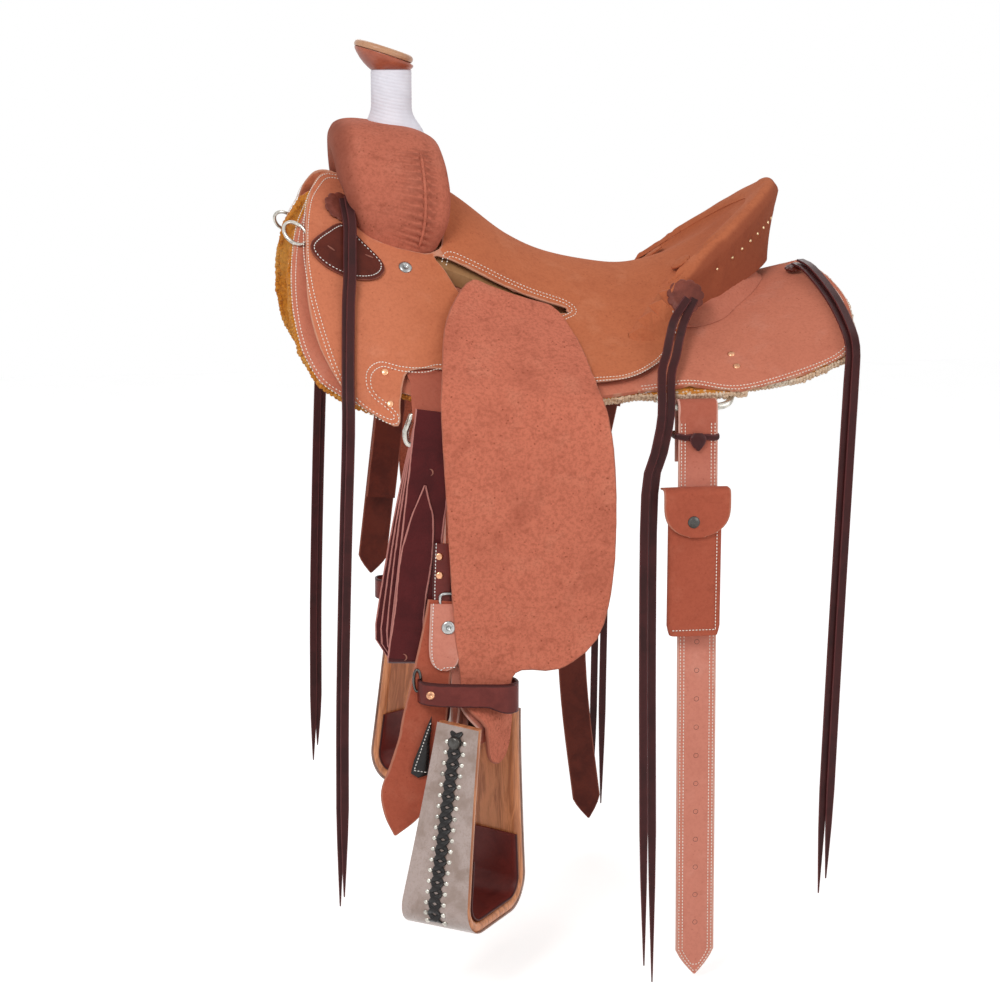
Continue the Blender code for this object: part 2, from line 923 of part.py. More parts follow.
def cantle():
    """Wooden cantle under the dish and the leather over its back."""
    rings = []
    back = []
    for k in range(13):
        y = CANTLE_REACH * (k / 6 - 1)
        dish = cantle_section(y, SEAT_BOTTOM - 2.4, 3.0)
        x = dish[-1].x
        low_x = x - 16
        feet = (low_x, (low_x + dish[0].x) / 2, dish[0].x)
        foot = [Vector((px, y, height_at(bar_top, px, y) + 2 * FIT_GAP)) for px in feet]
        height = dish[-1].z - foot[0].z
        for p in dish:
            p.z = max(p.z, height_at(bar_top, p.x, y) + 4)
        rear = [Vector((x + 5, y, dish[-1].z - 4)), Vector((x - 3, y, foot[0].z + 0.45 * height))]
        rings.append(dish + rear + foot)
        lean = (
            (x + 3.6, dish[-1].z + SEAT_THICK + 3),
            (x + 12, dish[-1].z + SEAT_THICK),
            (x + 15, dish[-1].z - 8),
            (x + 7, foot[0].z + 0.45 * height),
            (low_x + 7.5, foot[0].z + 2),
        )
        inner = (
            (low_x + 3, foot[0].z + 2),
            (x + 2.2, foot[0].z + 0.45 * height),
            (x + 7.5, dish[-1].z - 5),
            (x + 3.6, dish[-1].z - 0.5),
        )
        back.append([Vector((a, y, b)) for a, b in lean + inner])
    loft("tree_cantle", rings, wood())
    loft("cantle_back", back, roughout())


def stand_off(x, s):
    """How the rigging behind it pushes the fender's front edge outwards."""
    along = 0.25 + 0.75 * ease((FENDER_SWING_X - x) / 85.0)
    down = ease((s - 235.0) / 100.0) * ease((FENDER_FOOT_S - s) / 230.0)
    return Vector((0, -FENDER_STANDOFF * along * down, 0))


def fender_point(x, s):
    """Middle of the fender leather: on the seat above the break, then hanging free below it."""
    on_seat = seat_layer(SEAT_TOP + FENDER_CLEAR + FENDER_THICK / 2)
    stand = stand_off(x, s)
    if s <= FENDER_BREAK_S:
        return on_seat(x, s) + stand
    start = on_seat(x, FENDER_BREAK_S)
    lean = (on_seat(x, FENDER_BREAK_S) - on_seat(x, FENDER_BREAK_S - 1)) * FENDER_BEND
    leg_gap = FENDER_FOOT_Y - BOLT_Y
    end = Vector((x, -FENDER_FOOT_Y, FENDER_FOOT_Z))
    drop = Vector((0, -8.0, FENDER_FOOT_Z - start.z))
    t = (s - FENDER_BREAK_S) / (FENDER_FOOT_S - FENDER_BREAK_S)
    t2, t3 = t * t, t * t * t
    if t > 1:
        z = FENDER_FOOT_Z - (s - FENDER_FOOT_S)
        at_bolt = ROLLER_RADIUS + STRAP_THICK + FENDER_THICK / 2 + 7.5
        centre, across, out, share = hanging_frame(z, 1)
        return centre + across * (x - BOLT_X) + out * (leg_gap + (at_bolt - leg_gap) * share)
    return (
        stand
        + start * (2 * t3 - 3 * t2 + 1)
        + lean * (t3 - 2 * t2 + t)
        + end * (3 * t2 - 2 * t3)
        + drop * (t3 - t2)
    )


def fender_face(offset):
    return lambda x, s: fender_point(x, s) + normal_side(x, s) * offset


def normal_side(x, s):
    """Outward normal of the fender."""
    down = fender_point(x, s + 1) - fender_point(x, s - 1)
    along = fender_point(x + 1, s) - fender_point(x - 1, s)
    normal = down.cross(along).normalized()
    return normal if normal.y - normal.z < 0 else -normal


def swing_point(side):
    """Where the fender and stirrup leather of one side turn under the seat."""
    return Vector((FENDER_SWING_X, side * FENDER_SWING_Y, FENDER_SWING_Z))


def fender(label, side):
    half = FENDER_THICK / 2
    bm = bmesh.new()
    outline = smooth_line([Vector((*p, 0)) for p in FENDER_OUTLINE], 2, closed=True)
    bm.faces.new([bm.verts.new(p) for p in outline])
    xs = [v.co.x for v in bm.verts]
    ss = [v.co.y for v in bm.verts]
    grid_cuts(bm, min(xs), max(xs), 0, GRID_X)
    grid_cuts(bm, min(ss), FENDER_FOOT_S + 1, 1, GRID_S)
    for k in range(1, 13):
        grid_line(bm, 1, FENDER_FOOT_S + 6 * k)
    bmesh.ops.triangulate(bm, faces=bm.faces)
    raised = bmesh.ops.extrude_face_region(bm, geom=bm.faces[:], use_keep_orig=True)
    upper = {e for e in raised["geom"] if isinstance(e, bmesh.types.BMVert)}
    for v in bm.verts:
        p = fender_face(half if v in upper else -half)(v.co.x, v.co.y)
        v.co = Vector((p.x, p.y * side, p.z))
    return finish(bm, "fender_" + label, roughout(), swing_point(side))


def bolt_frame(side):
    """Centre of the stirrup bolt, its direction and the way the stirrup faces."""
    centre = Vector((BOLT_X, -BOLT_Y * side, BOLT_Z))
    along = Vector((math.cos(STIRRUP_TURN), side * math.sin(STIRRUP_TURN), 0))
    facing = Vector((math.sin(STIRRUP_TURN), -side * math.cos(STIRRUP_TURN), 0))
    return centre, along, facing


def leg_path(width_top, width_tread, top, bottom, corner, steps=6):
    """Half of the stirrup's U in its own plane: across, height."""
    lean = math.atan2((width_tread - width_top) / 2, top - bottom)
    foot = width_tread / 2
    middle = ((width_top * 0.45 + width_tread * 0.55) / 2, top * 0.45 + bottom * 0.55)
    points = [(width_top / 2, top), middle]
    for k in range(steps + 1):
        angle = -lean + (math.pi / 2 + lean) * k / steps
        points.append(
            (
                foot - corner + corner * math.cos(angle),
                bottom + corner - corner * math.sin(angle),
            )
        )
    points.append((0.0, bottom))
    return points


def stirrup_path(side, inset):
    """Line of the stirrup's U, moved inwards by an inset: in its own plane, and in place."""
    centre, along, _ = bolt_frame(side)
    half = leg_path(
        STIRRUP_INNER_TOP + STIRRUP_WALL - 2 * inset,
        STIRRUP_INNER_TREAD + STIRRUP_WALL - 2 * inset,
        STIRRUP_TOP,
        STIRRUP_BOTTOM + inset,
        STIRRUP_CORNER - inset,
    )
    level = half + [(-a, b) for a, b in reversed(half[:-1])]
    lean = STIRRUP_LEAN * max(side, 0)
    return level, [centre + along * a + Vector((b * lean, 0, b)) for a, b in level]


def stirrup_width(height):
    """Width of the stirrup's band, from its narrow top to its wide tread."""
    share = (STIRRUP_TOP - height) / (STIRRUP_TOP - STIRRUP_BOTTOM)
    return STIRRUP_TOP_WIDTH + (STIRRUP_TREAD_WIDTH - STIRRUP_TOP_WIDTH) * share**1.2


def stirrup(label, side):
    """Bent wooden U with a wide tread, and the leather on it."""
    centre, along, facing = bolt_frame(side)
    level, path = stirrup_path(side, 0.0)
    widths = [stirrup_width(b) for _, b in level]
    frame = strap("stirrup_" + label, path, facing, widths, STIRRUP_WALL, wood(), centre)
    reach = STIRRUP_INNER_TOP / 2 + STIRRUP_WALL + 12
    bore = BOLT_RADIUS + FIT_GAP
    hole = turned_rings(((bore, -reach), (bore, reach)), centre, along, 12)
    cut(frame, loft("bolt_hole_" + label, hole, steel()))
    inset = (STIRRUP_WALL + TREAD_COVER_THICK) / 2 + 2.5 * FIT_GAP
    level, path = stirrup_path(side, inset)
    keep = [i for i, (_, b) in enumerate(level) if b < STIRRUP_BOTTOM + TREAD_COVER_HEIGHT]
    cover = [path[i] for i in keep]
    widths = [stirrup_width(level[i][1]) - 4 for i in keep]
    strap("tread_cover_" + label, cover, facing, widths, TREAD_COVER_THICK, oxblood(), centre)


def stirrup_bolt(label, side):
    """Bolt through the stirrup's top with its heads outside and its roller inside."""
    centre, along, _ = bolt_frame(side)
    inner = STIRRUP_INNER_TOP / 2 - 2.5
    outer = STIRRUP_INNER_TOP / 2 + STIRRUP_WALL + 5
    profile = (
        (BOLT_HEAD_RADIUS, -outer - BOLT_HEAD_HEIGHT),
        (BOLT_HEAD_RADIUS, -outer),
        (BOLT_RADIUS, -outer),
        (BOLT_RADIUS, -inner),
        (ROLLER_RADIUS, -inner),
        (ROLLER_RADIUS, inner),
        (BOLT_RADIUS, inner),
        (BOLT_RADIUS, outer),
        (BOLT_HEAD_RADIUS, outer),
        (BOLT_HEAD_RADIUS, outer + BOLT_HEAD_HEIGHT),
    )
    turned("stirrup_bolt_" + label, profile, centre, along, steel(), 14, centre)


def hanging_frame(z, side):
    """Centre, across and outward directions of the twisted leathers at a height."""
    share = ease((TWIST_TOP_Z - z) / (TWIST_TOP_Z - TWIST_BOTTOM_Z))
    turn = STIRRUP_TURN * share
    across = Vector((math.cos(turn), side * math.sin(turn), 0))
    out = Vector((math.sin(turn), -side * math.cos(turn), 0))
    y = BOLT_Y - max(0.0, z - PLY_STRAIGHT_Z) * PLY_LEAN
    return Vector((BOLT_X, -y * side, z)), across, out, share


def ply(z, side, near_gap, far_gap, shift=0.0):
    """Point and across direction of one ply; the gaps are its distances at rest and at the bolt."""
    centre, across, out, share = hanging_frame(z, side)
    return centre + out * (near_gap + (far_gap - near_gap) * share) + across * shift, across


def stirrup_leather(label, side):
    """Doubled leather behind the fender, round the stirrup's roller, with its end hanging free."""
    centre, along, facing = bolt_frame(side)
    reach = ROLLER_RADIUS + 2.0 + STRAP_THICK / 2
    heights = [-262, -330, -400] + [FENDER_FOOT_Z - 6 * k for k in range(11)]
    points, across = [], []
    for z in heights:
        p, a = ply(z, side, PLY_GAP, reach)
        points.append(p)
        across.append(a)
    for k in range(9):
        angle = math.pi * k / 8
        points.append(centre + facing * math.cos(angle) * reach - Vector((0, 0, math.sin(angle) * reach)))
        across.append(along)
    for z in reversed(heights):
        p, a = ply(z, side, -PLY_GAP, -reach)
        points.append(p)
        across.append(a)
    name = "stirrup_leather_" + label
    width = STIRRUP_LEATHER_WIDTH
    strap(name, points, across, width, STRAP_THICK, roughout(), swing_point(side))


def hobble_strap(label, side):
    """Narrow strap buckled round the leathers just above the stirrup."""
    path = []
    for k in range(20):
        angle = 2 * math.pi * k / 20
        a = math.copysign(abs(math.cos(angle)) ** 0.5, math.cos(angle)) * HOBBLE_HALF
        b = math.copysign(abs(math.sin(angle)) ** 0.7, math.sin(angle)) * HOBBLE_DEPTH
        centre, across, out, _ = hanging_frame(HOBBLE_Z, side)
        rise = Vector((0, 0, 0.06 * a))
        path.append(centre + across * (a + HOBBLE_SHIFT) + out * (b + HOBBLE_OUT) + rise)
    rings = []
    for i, p in enumerate(path):
        tangent = (path[(i + 1) % 20] - path[i - 1]).normalized()
        face = tangent.cross(Vector((0, 0, 1))).normalized()
        rings.append(
            [
                p + Vector((0, 0, a * HOBBLE_WIDTH / 2)) + face * b * STRAP_THICK / 2
                for a, b in ((-1, -1), (1, -1), (1, 1), (-1, 1))
            ]
        )
    loft("hobble_strap_" + label, rings, oxblood(), swing_point(side), closed=True)


def d_path(bar, across, down, width, height, wire, square):
    """Centre line of a D of bent wire, from its straight bar down and round the bottom."""
    across = Vector(across)
    down = Vector(down).normalized()
    half = width / 2 - wire
    drop = height - 2 * wire
    path = [bar + across * (half - 8), bar - across * (half - 8)]
    for k in range(1, 12):
        angle = math.pi * k / 12
        a = -math.copysign(abs(math.cos(angle)) ** (2 / square), math.cos(angle)) * half
        b = abs(math.sin(angle)) ** (2 / square) * drop
        path.append(bar + across * a + down * max(b, 4.0))
    return path


def on_side(x, s, n, side):
    """Point over the skirt at a distance n, on either side of the horse."""
    p = layer(n)(x, s)
    return Vector((p.x, p.y * side, p.z))


def ring_across(side):
    return Vector((math.cos(RING_TURN), -side * math.sin(RING_TURN), 0))


# Half widths of the front rigging plate down to its fold round the ring.
RIGGING_HALVES = ((160, 39), (215, 39), (270, 39), (296, 34), (322, RIGGING_WIDTH / 2))


def rigging(label, side):
    """Front plate laid on the skirt and folded round the ring's bar, and the ring."""
    bar = barrel(RING_X, RING_BAR_S)
    low, high = layer(LAYER_GAP), layer(LAYER_GAP + RIGGING_THICK)
    rows = []
    for s, half in RIGGING_HALVES:
        places = [k / 2 * half for k in range(-2, 3)]
        inner = [low(RING_X + a, s) for a in places]
        outer = [high(RING_X + a, s) for a in places]
        rows.append(inner + outer[::-1])
    across = ring_across(1)
    outward = across.cross(Vector((0, 0, 1)))
    inside = RING_WIRE + 4.5 * FIT_GAP
    for k in range(8):
        angle = math.radians(30 - 32 * k)
        out = outward * math.cos(angle) + Vector((0, 0, 1)) * math.sin(angle)
        inner = [bar + across * a + out * inside for a in places]
        outer = [bar + across * a + out * (inside + RIGGING_THICK) for a in places]
        rows.append(inner + outer[::-1])
    rows = [turned_over(row, side) for row in rows]
    loft("rigging_plate_" + label, rows, roughout())
    bar.y *= side
    path = d_path(bar, ring_across(side), (0, 0, -1), RING_WIDTH, RING_HEIGHT, RING_WIRE, 8.0)
    loft("front_ring_" + label, tube_rings(path, RING_WIRE, 8, True), nickel(), bar, closed=True)
    return bar


def rear_rigging(label, side):
    """Wide dee under the skirt's edge and the folded tab that holds its bar."""
    top = layer(DEE_LAYER)(DEE_X, DEE_TOP_S)
    low = layer(DEE_LAYER)(DEE_X, DEE_BOTTOM_S)
    down = low - top
    path = d_path(top, (1, 0, 0), down, DEE_WIDTH, down.length + 2 * DEE_WIRE, DEE_WIRE, 4.5)
    path = turned_over(path, side)
    loft("rear_dee_" + label, tube_rings(path, DEE_WIRE, 8, True), nickel(), closed=True)
    return Vector((DEE_X, low.y, low.z))


def latigo(bar):
    """Long tie strap, folded in three on the near ring: outer ply, inner ply and middle ply."""
    foot = bar.z - RING_HEIGHT + 2 * RING_WIRE
    across = ring_across(1)
    out = Vector((0, 0, 1)).cross(across)
    out = -out if out.y > 0 else out
    loop = RING_WIRE + 2.2 + STRAP_THICK / 2

    def spot(z, gap):
        lean = (foot - z) * LATIGO_LEAN
        return Vector((bar.x - lean, bar.y, z)) + out * gap

    points = [spot(z, LATIGO_OUTER) for z in (LATIGO_TOP_Z, -160, -240, -320, LATIGO_FOLD_Z)]
    middle = (LATIGO_OUTER - loop) / 2
    turn = (LATIGO_OUTER + loop) / 2
    for k in range(1, 6):
        angle = math.pi * k / 6
        points.append(spot(LATIGO_FOLD_Z - math.sin(angle) * turn, middle + math.cos(angle) * turn))
    points += [spot(z, -loop) for z in (LATIGO_FOLD_Z, -320, -240, foot - 12, foot)]
    for k in range(1, 4):
        angle = math.pi * k / 4
        points.append(spot(foot + math.sin(angle) * loop, -math.cos(angle) * loop))
    points += [spot(z, loop) for z in (foot, foot - 20, -260, LATIGO_FOLD_Z + 18)]
    strap("latigo_near", points, across, LATIGO_WIDTH, STRAP_THICK, oxblood(), (bar.x, bar.y, foot))


def hung_strap(bar, side, path, wire, short_z, long_z, width, tip, bend):
    """Path and widths of a strap that goes over a bar: short ply inside, long ply outside."""
    loop = wire + BILLET_SLACK + STRAP_THICK / 2
    outward = -side
    points = []
    for z in (short_z, bar.z - 30, bar.z):
        points.append(Vector((bar.x + bend(z), bar.y - outward * loop, z)))
    for k in range(1, 6):
        angle = math.pi * k / 6
        points.append(
            Vector((bar.x, bar.y - outward * math.cos(angle) * loop, bar.z + math.sin(angle) * loop))
        )
    count = len(points)
    for z in path:
        points.append(Vector((bar.x + bend(z), bar.y + outward * loop, z)))
    points.append(Vector((bar.x + bend(long_z + tip), bar.y + outward * loop, long_z + tip)))
    points.append(Vector((bar.x + bend(long_z), bar.y + outward * loop, long_z)))
    widths = [width] * (count + len(path) + 1) + [3.0]
    return points, widths


# Middle line and width of the near stirrup leather's free end.
TAIL = (
    (-226, -290, -500, 58),
    (-236, -292, -535, 61),
    (-247, -295, -570, 64),
    (-255, -298, -596, 40),
    (-261, -300, -618, 3),
)


def leather_tail():
    """Free end of the near stirrup leather, hanging in front of the stirrup."""
    spots = [(x, y, z) for x, y, z, _ in TAIL]
    widths = [width for *_, width in TAIL]
    centre = bolt_frame(1)[0]
    strap("leather_tail_near", spots, (1, 0, 0), widths, STRAP_THICK, roughout(), centre)


def holes(name, spots, radius):
    """Cutter of short upright rods, one through each hole."""
    bm = bmesh.new()
    for spot in spots:
        rings = turned_rings(((radius, -8), (radius, 8)), spot, (0, 1, 0), 8)
        low, high = [[bm.verts.new(p) for p in ring] for ring in rings]
        for k in range(8):
            n = (k + 1) % 8
            bm.faces.new((low[k], low[n], high[n], high[k]))
        bm.faces.new(low[::-1])
        bm.faces.new(high)
    return finish(bm, name, steel())


def flank_billet(label, side, dee):
    bar = Vector((dee.x, dee.y * side, dee.z))
    near = side == 1
    long_z = BILLET_TIP_Z if near else FAR_BILLET_TIP_Z
    width = BILLET_WIDTH if near else FAR_BILLET_WIDTH

    def bend(z):
        return (bar.z - z) * BILLET_DRIFT if near else far_billet_bend(bar.z - z)

    path = [bar.z - 20 - k * 60 for k in range(12) if bar.z - 20 - k * 60 > long_z + 60]
    points, widths = hung_strap(bar, side, path, DEE_WIRE, bar.z - 70, long_z, width, 34, bend)
    look = roughout() if near else brown_leather()
    billet = strap("flank_billet_" + label, points, (1, 0, 0), widths, STRAP_THICK, look, bar)
    spots = []
    for k in range(BILLET_HOLES if near else FAR_BILLET_HOLES):
        z = long_z + BILLET_HOLE_PITCH * (1.9 + k)
        spots.append((bar.x + bend(z), points[-1].y, z))
    cut(billet, holes("billet_holes_" + label, spots, HOLE_RADIUS))
    return points[-1].y, bar


def far_billet_bend(drop):
    """Forward bow of the far billet at a distance below its dee."""
    share = min(1.0, drop / 760.0)
    return -FAR_BILLET_BOW * math.sin(math.pi * min(1.0, share * 1.02)) ** 1.2 - 30.0 * share


def off_billet(bar):
    """Doubled strap on the far ring that takes the cinch."""
    foot = bar.z - RING_HEIGHT + 2 * RING_WIRE
    start = Vector((bar.x, bar.y, foot))
    path = [foot - 20 - 55 * k for k in range(4)]

    def lean(z):
        return (z - foot) * LATIGO_LEAN

    width = OFF_BILLET_WIDTH
    points, widths = hung_strap(
        start, -1, path, RING_WIRE, foot - 160, foot - 278, width, 26, lean
    )
    across = ring_across(-1)
    billet = strap("off_billet_far", points, across, widths, STRAP_THICK, brown_leather(), start)
    heights = [foot - 240 + OFF_BILLET_PITCH * k for k in range(OFF_BILLET_HOLES)]
    spots = [(bar.x + lean(z), points[-1].y, z) for z in heights]
    cut(billet, holes("off_billet_holes", spots, HOLE_RADIUS))


def pouch_box(name, x, half, y_low, y_high, z_low, z_high, look, pivot):
    """Upright box with rounded corners and a drawn-in bottom."""
    corner = min(POUCH_CORNER, half)
    middle = (y_low + y_high) / 2
    deep = (y_high - y_low) / 2 - corner
    rings = []
    for z, draw in ((z_low, 3.0), (z_low + 5, 0.0), (z_high, 0.0)):
        ring = []
        for cx, cy, start in ((1, 1, 0), (-1, 1, 90), (-1, -1, 180), (1, -1, 270)):
            for step in (0, 45, 90):
                angle = math.radians(start + step)
                px = cx * (half - corner - draw) + corner * math.cos(angle)
                py = cy * deep + corner * math.sin(angle)
                ring.append(Vector((x + px, middle + py, z)))
        rings.append(ring)
    return loft(name, rings, look, pivot)


def pouch(face_y, bar):
    """Open-topped pouch on the near flank billet, and its flap."""
    x = bar.x + POUCH_SHIFT
    back = face_y - STRAP_THICK / 2 - FIT_GAP
    front = back - POUCH_DEPTH
    half = POUCH_WIDTH / 2
    wall = POUCH_WALL
    low, high = POUCH_BOTTOM_Z, POUCH_TOP_Z
    body = pouch_box("pouch", x, half, front, back, low, high, roughout(), bar)
    cavity = pouch_box(
        "pouch_inside",
        x,
        half - wall,
        front + wall,
        back - wall,
        low + wall,
        high + 20,
        wood(),
        bar,
    )
    cut(body, cavity)
    lift = high + FIT_GAP + 3.7
    out = front - FIT_GAP - 3.5
    path = [
        (x, back - 2, lift),
        (x, (front + back) / 2, lift + 1),
        (x, front - 1, lift),
        (x, out, lift - 6.5),
        (x, out, lift - 29.5),
        (x, out, high - 42),
        (x, out, high - FLAP_DROP),
    ]
    widths = [FLAP_WIDTH] * 4 + [FLAP_WIDTH - 4, FLAP_WIDTH - 30, 22.0]
    hinge = (x, back - 2, lift)
    strap("pouch_flap", path, (1, 0, 0), widths, POUCH_WALL, roughout(), hinge)


def small_leathers(label, side):
    """Plate under the front strings, scalloped rosettes and the small dee at the front edge."""
    sheet(
        "concho_plate_" + label,
        smooth_line([Vector((*p, 0)) for p in CONCHO_OUTLINE], 2, closed=True),
        seat_layer(SEAT_TOP + FIT_GAP),
        seat_layer(SEAT_TOP + FIT_GAP + 4.0),
        brown_leather(),
        side,
    )
    path = []
    for k in range(12):
        angle = 2 * math.pi * k / 12
        x = BREAST_DEE_X - 15.0 * math.cos(angle)
        s = BREAST_DEE_S + 16.0 * math.sin(angle)
        path.append(on_side(x, s, LAYER_GAP + 2.1, side))
    loft("breast_dee_" + label, tube_rings(path, BREAST_DEE_WIRE, 8, True), nickel(), closed=True)


def rosette(name, x, s, surface, side):
    """Scalloped leather disc."""
    outline = []
    for k in range(ROSETTE_SCALLOPS * 2):
        angle = math.pi * k / ROSETTE_SCALLOPS
        radius = ROSETTE_RADIUS - (1.6 if k % 2 else 0.0)
        outline.append((x + radius * math.cos(angle), s + radius * math.sin(angle)))
    sheet(name, outline, surface(ROSETTE_LIFT), surface(ROSETTE_LIFT + 3.0), brown_leather(), side)


def saddle_string(name, side, over, hang, shift_x, shift_out, shorten):
    """Flat thong: over the leather first, then hanging free."""
    points = []
    for x, s, n, on_seat in over:
        surface = seat_layer(SEAT_TOP) if on_seat else layer(0.0)
        p = surface(x, s) + normal_of(surface, x, s) * (n + shift_out)
        points.append(p)
    for x, y, z in hang:
        points.append(Vector((x, -y - shift_out, z)))
    points = [p + Vector((shift_x, 0, 0)) for p in points]
    points[-1].z += shorten
    line = smooth_line(points, 3)
    line = turned_over(line, side)
    widths = [STRING_WIDTH] * (len(line) - 3) + [STRING_WIDTH * 0.8, STRING_WIDTH * 0.5, 1.5]
    strap(name, line, (1, 0, 0), widths, STRING_THICK, string_leather())


STRING_ROUTES = {
    "front": (
        (
            (-303, 140, 10, True),
            (-304, 175, 10, True),
            (-305, 222, 9, True),
            (-307, 260, 5.5, True),
            (-310, 360, 5, True),
        ),
        (
            (-313, 262, -110),
            (-319, 264, -260),
            (-325, 265, -450),
            (-327, 265, -590),
            (-329, 265, -722),
        ),
    ),
    "mid": (
        (
            (157, 84, 16, True),
            (142, 110, 16, True),
            (120, 150, 17, True),
            (110, 190, 12, True),
            (106, 235, 8, True),
            (99, 262, 13, False),
        ),
        (
            (93, 276, -92),
            (84, 278, -140),
            (73, 277, -192),
            (73, 275, -380),
            (77, 273, -640),
            (80, 272, -848),
        ),
    ),
    "off_mid": (
        (
            (157, 84, 16, True),
            (142, 110, 16, True),
            (120, 150, 17, True),
            (110, 190, 13, True),
            (108, 235, 9, True),
            (112, 260, 16, False),
        ),
        (
            (118, 281, -76),
            (123, 287, -104),
            (125, 287, -160),
            (124, 287, -320),
            (122, 286, -480),
            (120, 285, -640),
            (119, 284, -789),
        ),
    ),
    "rear": (
        (
            (317, 45, 11, False),
            (324, 80, 12, False),
            (333, 150, 6.5, False),
            (336, 215, 6.5, False),
            (334, 262, 6.5, False),
        ),
        (
            (331, 246, -60),
            (326, 252, -150),
            (318, 254, -380),
            (312, 254, -600),
            (309, 254, -744),
        ),
    ),
}
# name, route, side, shift along the horse, shift outwards, shortening
STRINGS = (
    ("front_near_a", "front", 1, 0.0, 0.0, 0.0),
    ("front_near_b", "front", 1, 5.0, 4.5, 14.0),
    ("mid_near_a", "mid", 1, 0.0, 0.0, 0.0),
    ("mid_near_b", "mid", 1, -12.5, 6.0, 26.0),
    ("rear_near_a", "rear", 1, 0.0, 0.0, 0.0),
    ("rear_near_b", "rear", 1, 8.0, 5.0, 22.0),
    ("front_far_a", "front", -1, 0.0, 0.0, 30.0),
    ("front_far_b", "front", -1, 7.0, 4.5, 52.0),
    ("mid_far_a", "off_mid", -1, 0.0, 0.0, 0.0),
    ("mid_far_b", "off_mid", -1, -12.5, 6.0, 30.0),
)


def strings():
    for name, route, side, shift_x, shift_out, shorten in STRINGS:
        over, hang = STRING_ROUTES[route]
        saddle_string("string_" + name, side, over, hang, shift_x, shift_out, shorten)


def clear_scene():
    for made in list(bpy.data.objects):
        bpy.data.objects.remove(made)


def main():
    clear_scene()
    for label, side in SIDES:
        leathers(label, side)
        fender(label, side)
        stirrup_leather(label, side)
        hobble_strap(label, side)
        stirrup(label, side)
        stirrup_bolt(label, side)
        small_leathers(label, side)
        ring_bar = rigging(label, side)
        if label == "near":
            latigo(ring_bar)
        else:
            off_billet(ring_bar)
        dee = rear_rigging(label, side)
        face_y, bar = flank_billet(label, side, dee)
        if label == "near":
            pouch(face_y, bar)
        rosette("rosette_mid_" + label, *ROSETTE_MID, lambda n: seat_layer(SEAT_TOP + n), side)
    rosette("rosette_rear_near", *ROSETTE_REAR, layer, 1)
    leather_tail()
    seat()
    fork()
    fork_cover()
    horn()
    cantle()
    strings()


main()
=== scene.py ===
"""Ranch roping saddle: finished leathers, fleece, wood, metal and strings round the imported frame.

Places are worked out in millimetres and finished() brings them to metres. The front is -X, the
near side is -Y and +Z is up. Leather that lies on the horse is cut flat in x, along the horse,
and s, the distance down the side from the ridge line. A piece that both sides have is made for
the near side and mirrored for the far one.
"""

import functools
import math

import bmesh
import bpy
from mathutils import Matrix, Vector, kdtree, noise
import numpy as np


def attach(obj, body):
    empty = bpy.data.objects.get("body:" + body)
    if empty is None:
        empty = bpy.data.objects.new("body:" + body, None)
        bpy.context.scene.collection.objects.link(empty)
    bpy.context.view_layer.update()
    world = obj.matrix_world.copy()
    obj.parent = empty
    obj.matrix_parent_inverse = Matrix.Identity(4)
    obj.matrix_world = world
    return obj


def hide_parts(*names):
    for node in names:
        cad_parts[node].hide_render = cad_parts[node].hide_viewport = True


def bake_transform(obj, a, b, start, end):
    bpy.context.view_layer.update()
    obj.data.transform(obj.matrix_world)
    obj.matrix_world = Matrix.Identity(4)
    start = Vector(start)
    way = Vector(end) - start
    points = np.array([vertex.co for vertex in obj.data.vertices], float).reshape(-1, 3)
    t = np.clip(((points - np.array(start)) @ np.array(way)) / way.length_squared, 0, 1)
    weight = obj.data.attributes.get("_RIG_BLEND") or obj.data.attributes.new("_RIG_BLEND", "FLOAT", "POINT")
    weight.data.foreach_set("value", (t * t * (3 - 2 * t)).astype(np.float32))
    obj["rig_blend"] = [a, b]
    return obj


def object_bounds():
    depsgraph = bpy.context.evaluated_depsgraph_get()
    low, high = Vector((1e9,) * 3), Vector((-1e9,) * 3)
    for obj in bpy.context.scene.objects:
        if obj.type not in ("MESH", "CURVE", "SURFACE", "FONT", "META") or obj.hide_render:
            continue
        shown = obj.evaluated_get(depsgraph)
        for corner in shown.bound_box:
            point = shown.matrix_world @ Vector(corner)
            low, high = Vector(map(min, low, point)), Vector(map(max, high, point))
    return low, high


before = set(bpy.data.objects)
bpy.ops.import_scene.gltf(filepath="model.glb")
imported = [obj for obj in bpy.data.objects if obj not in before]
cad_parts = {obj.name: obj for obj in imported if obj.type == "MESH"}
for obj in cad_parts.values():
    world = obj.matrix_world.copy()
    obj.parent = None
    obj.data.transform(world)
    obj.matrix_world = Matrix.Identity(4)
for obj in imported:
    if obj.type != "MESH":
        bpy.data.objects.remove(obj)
CAD_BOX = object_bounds()
MM = 0.001
SIDES = ((1, "near"), (-1, "far"))
UP = Vector((0, 0, 1))
OUTWARD = Vector((0, -1, 0))

# Leathers and gaps
SKIRT_THICK = 5.0
FLEECE_THICK = 10.0
RIGGING_THICK = 4.0
SEAT_THICK = 4.0
FENDER_THICK = 5.0
STRAP_THICK = 3.2
LAYER_GAP = 1.5
FIT_GAP = 0.6
FORK_LEATHER = 4.0
SEAT_BOTTOM = 2 * LAYER_GAP + RIGGING_THICK
SEAT_TOP = SEAT_BOTTOM + SEAT_THICK

# Tree
HORN_X = -227.5
HORN_NECK_RADIUS = 26.5
HORN_FLARE_RADIUS = 31.0
HORN_CAP_TILT = math.radians(17.5)
HORN_CAP_Z = 353.0
HORN_CAP_FORWARD = 11.0
HORN_NECK_TOP = 334.0
FORK_FOOT_Z = 103.0
FORK_TOP_Z = 262.0
CANTLE_RISE = 88.0
CANTLE_RIM_X = 280.0
CANTLE_HALF_WIDTH = 172.0
CANTLE_CURVE = 0.0338
SEAT_DEEP_X = 60.0
RIM_LEVEL = 8.0
RIM_FALL = 45.0

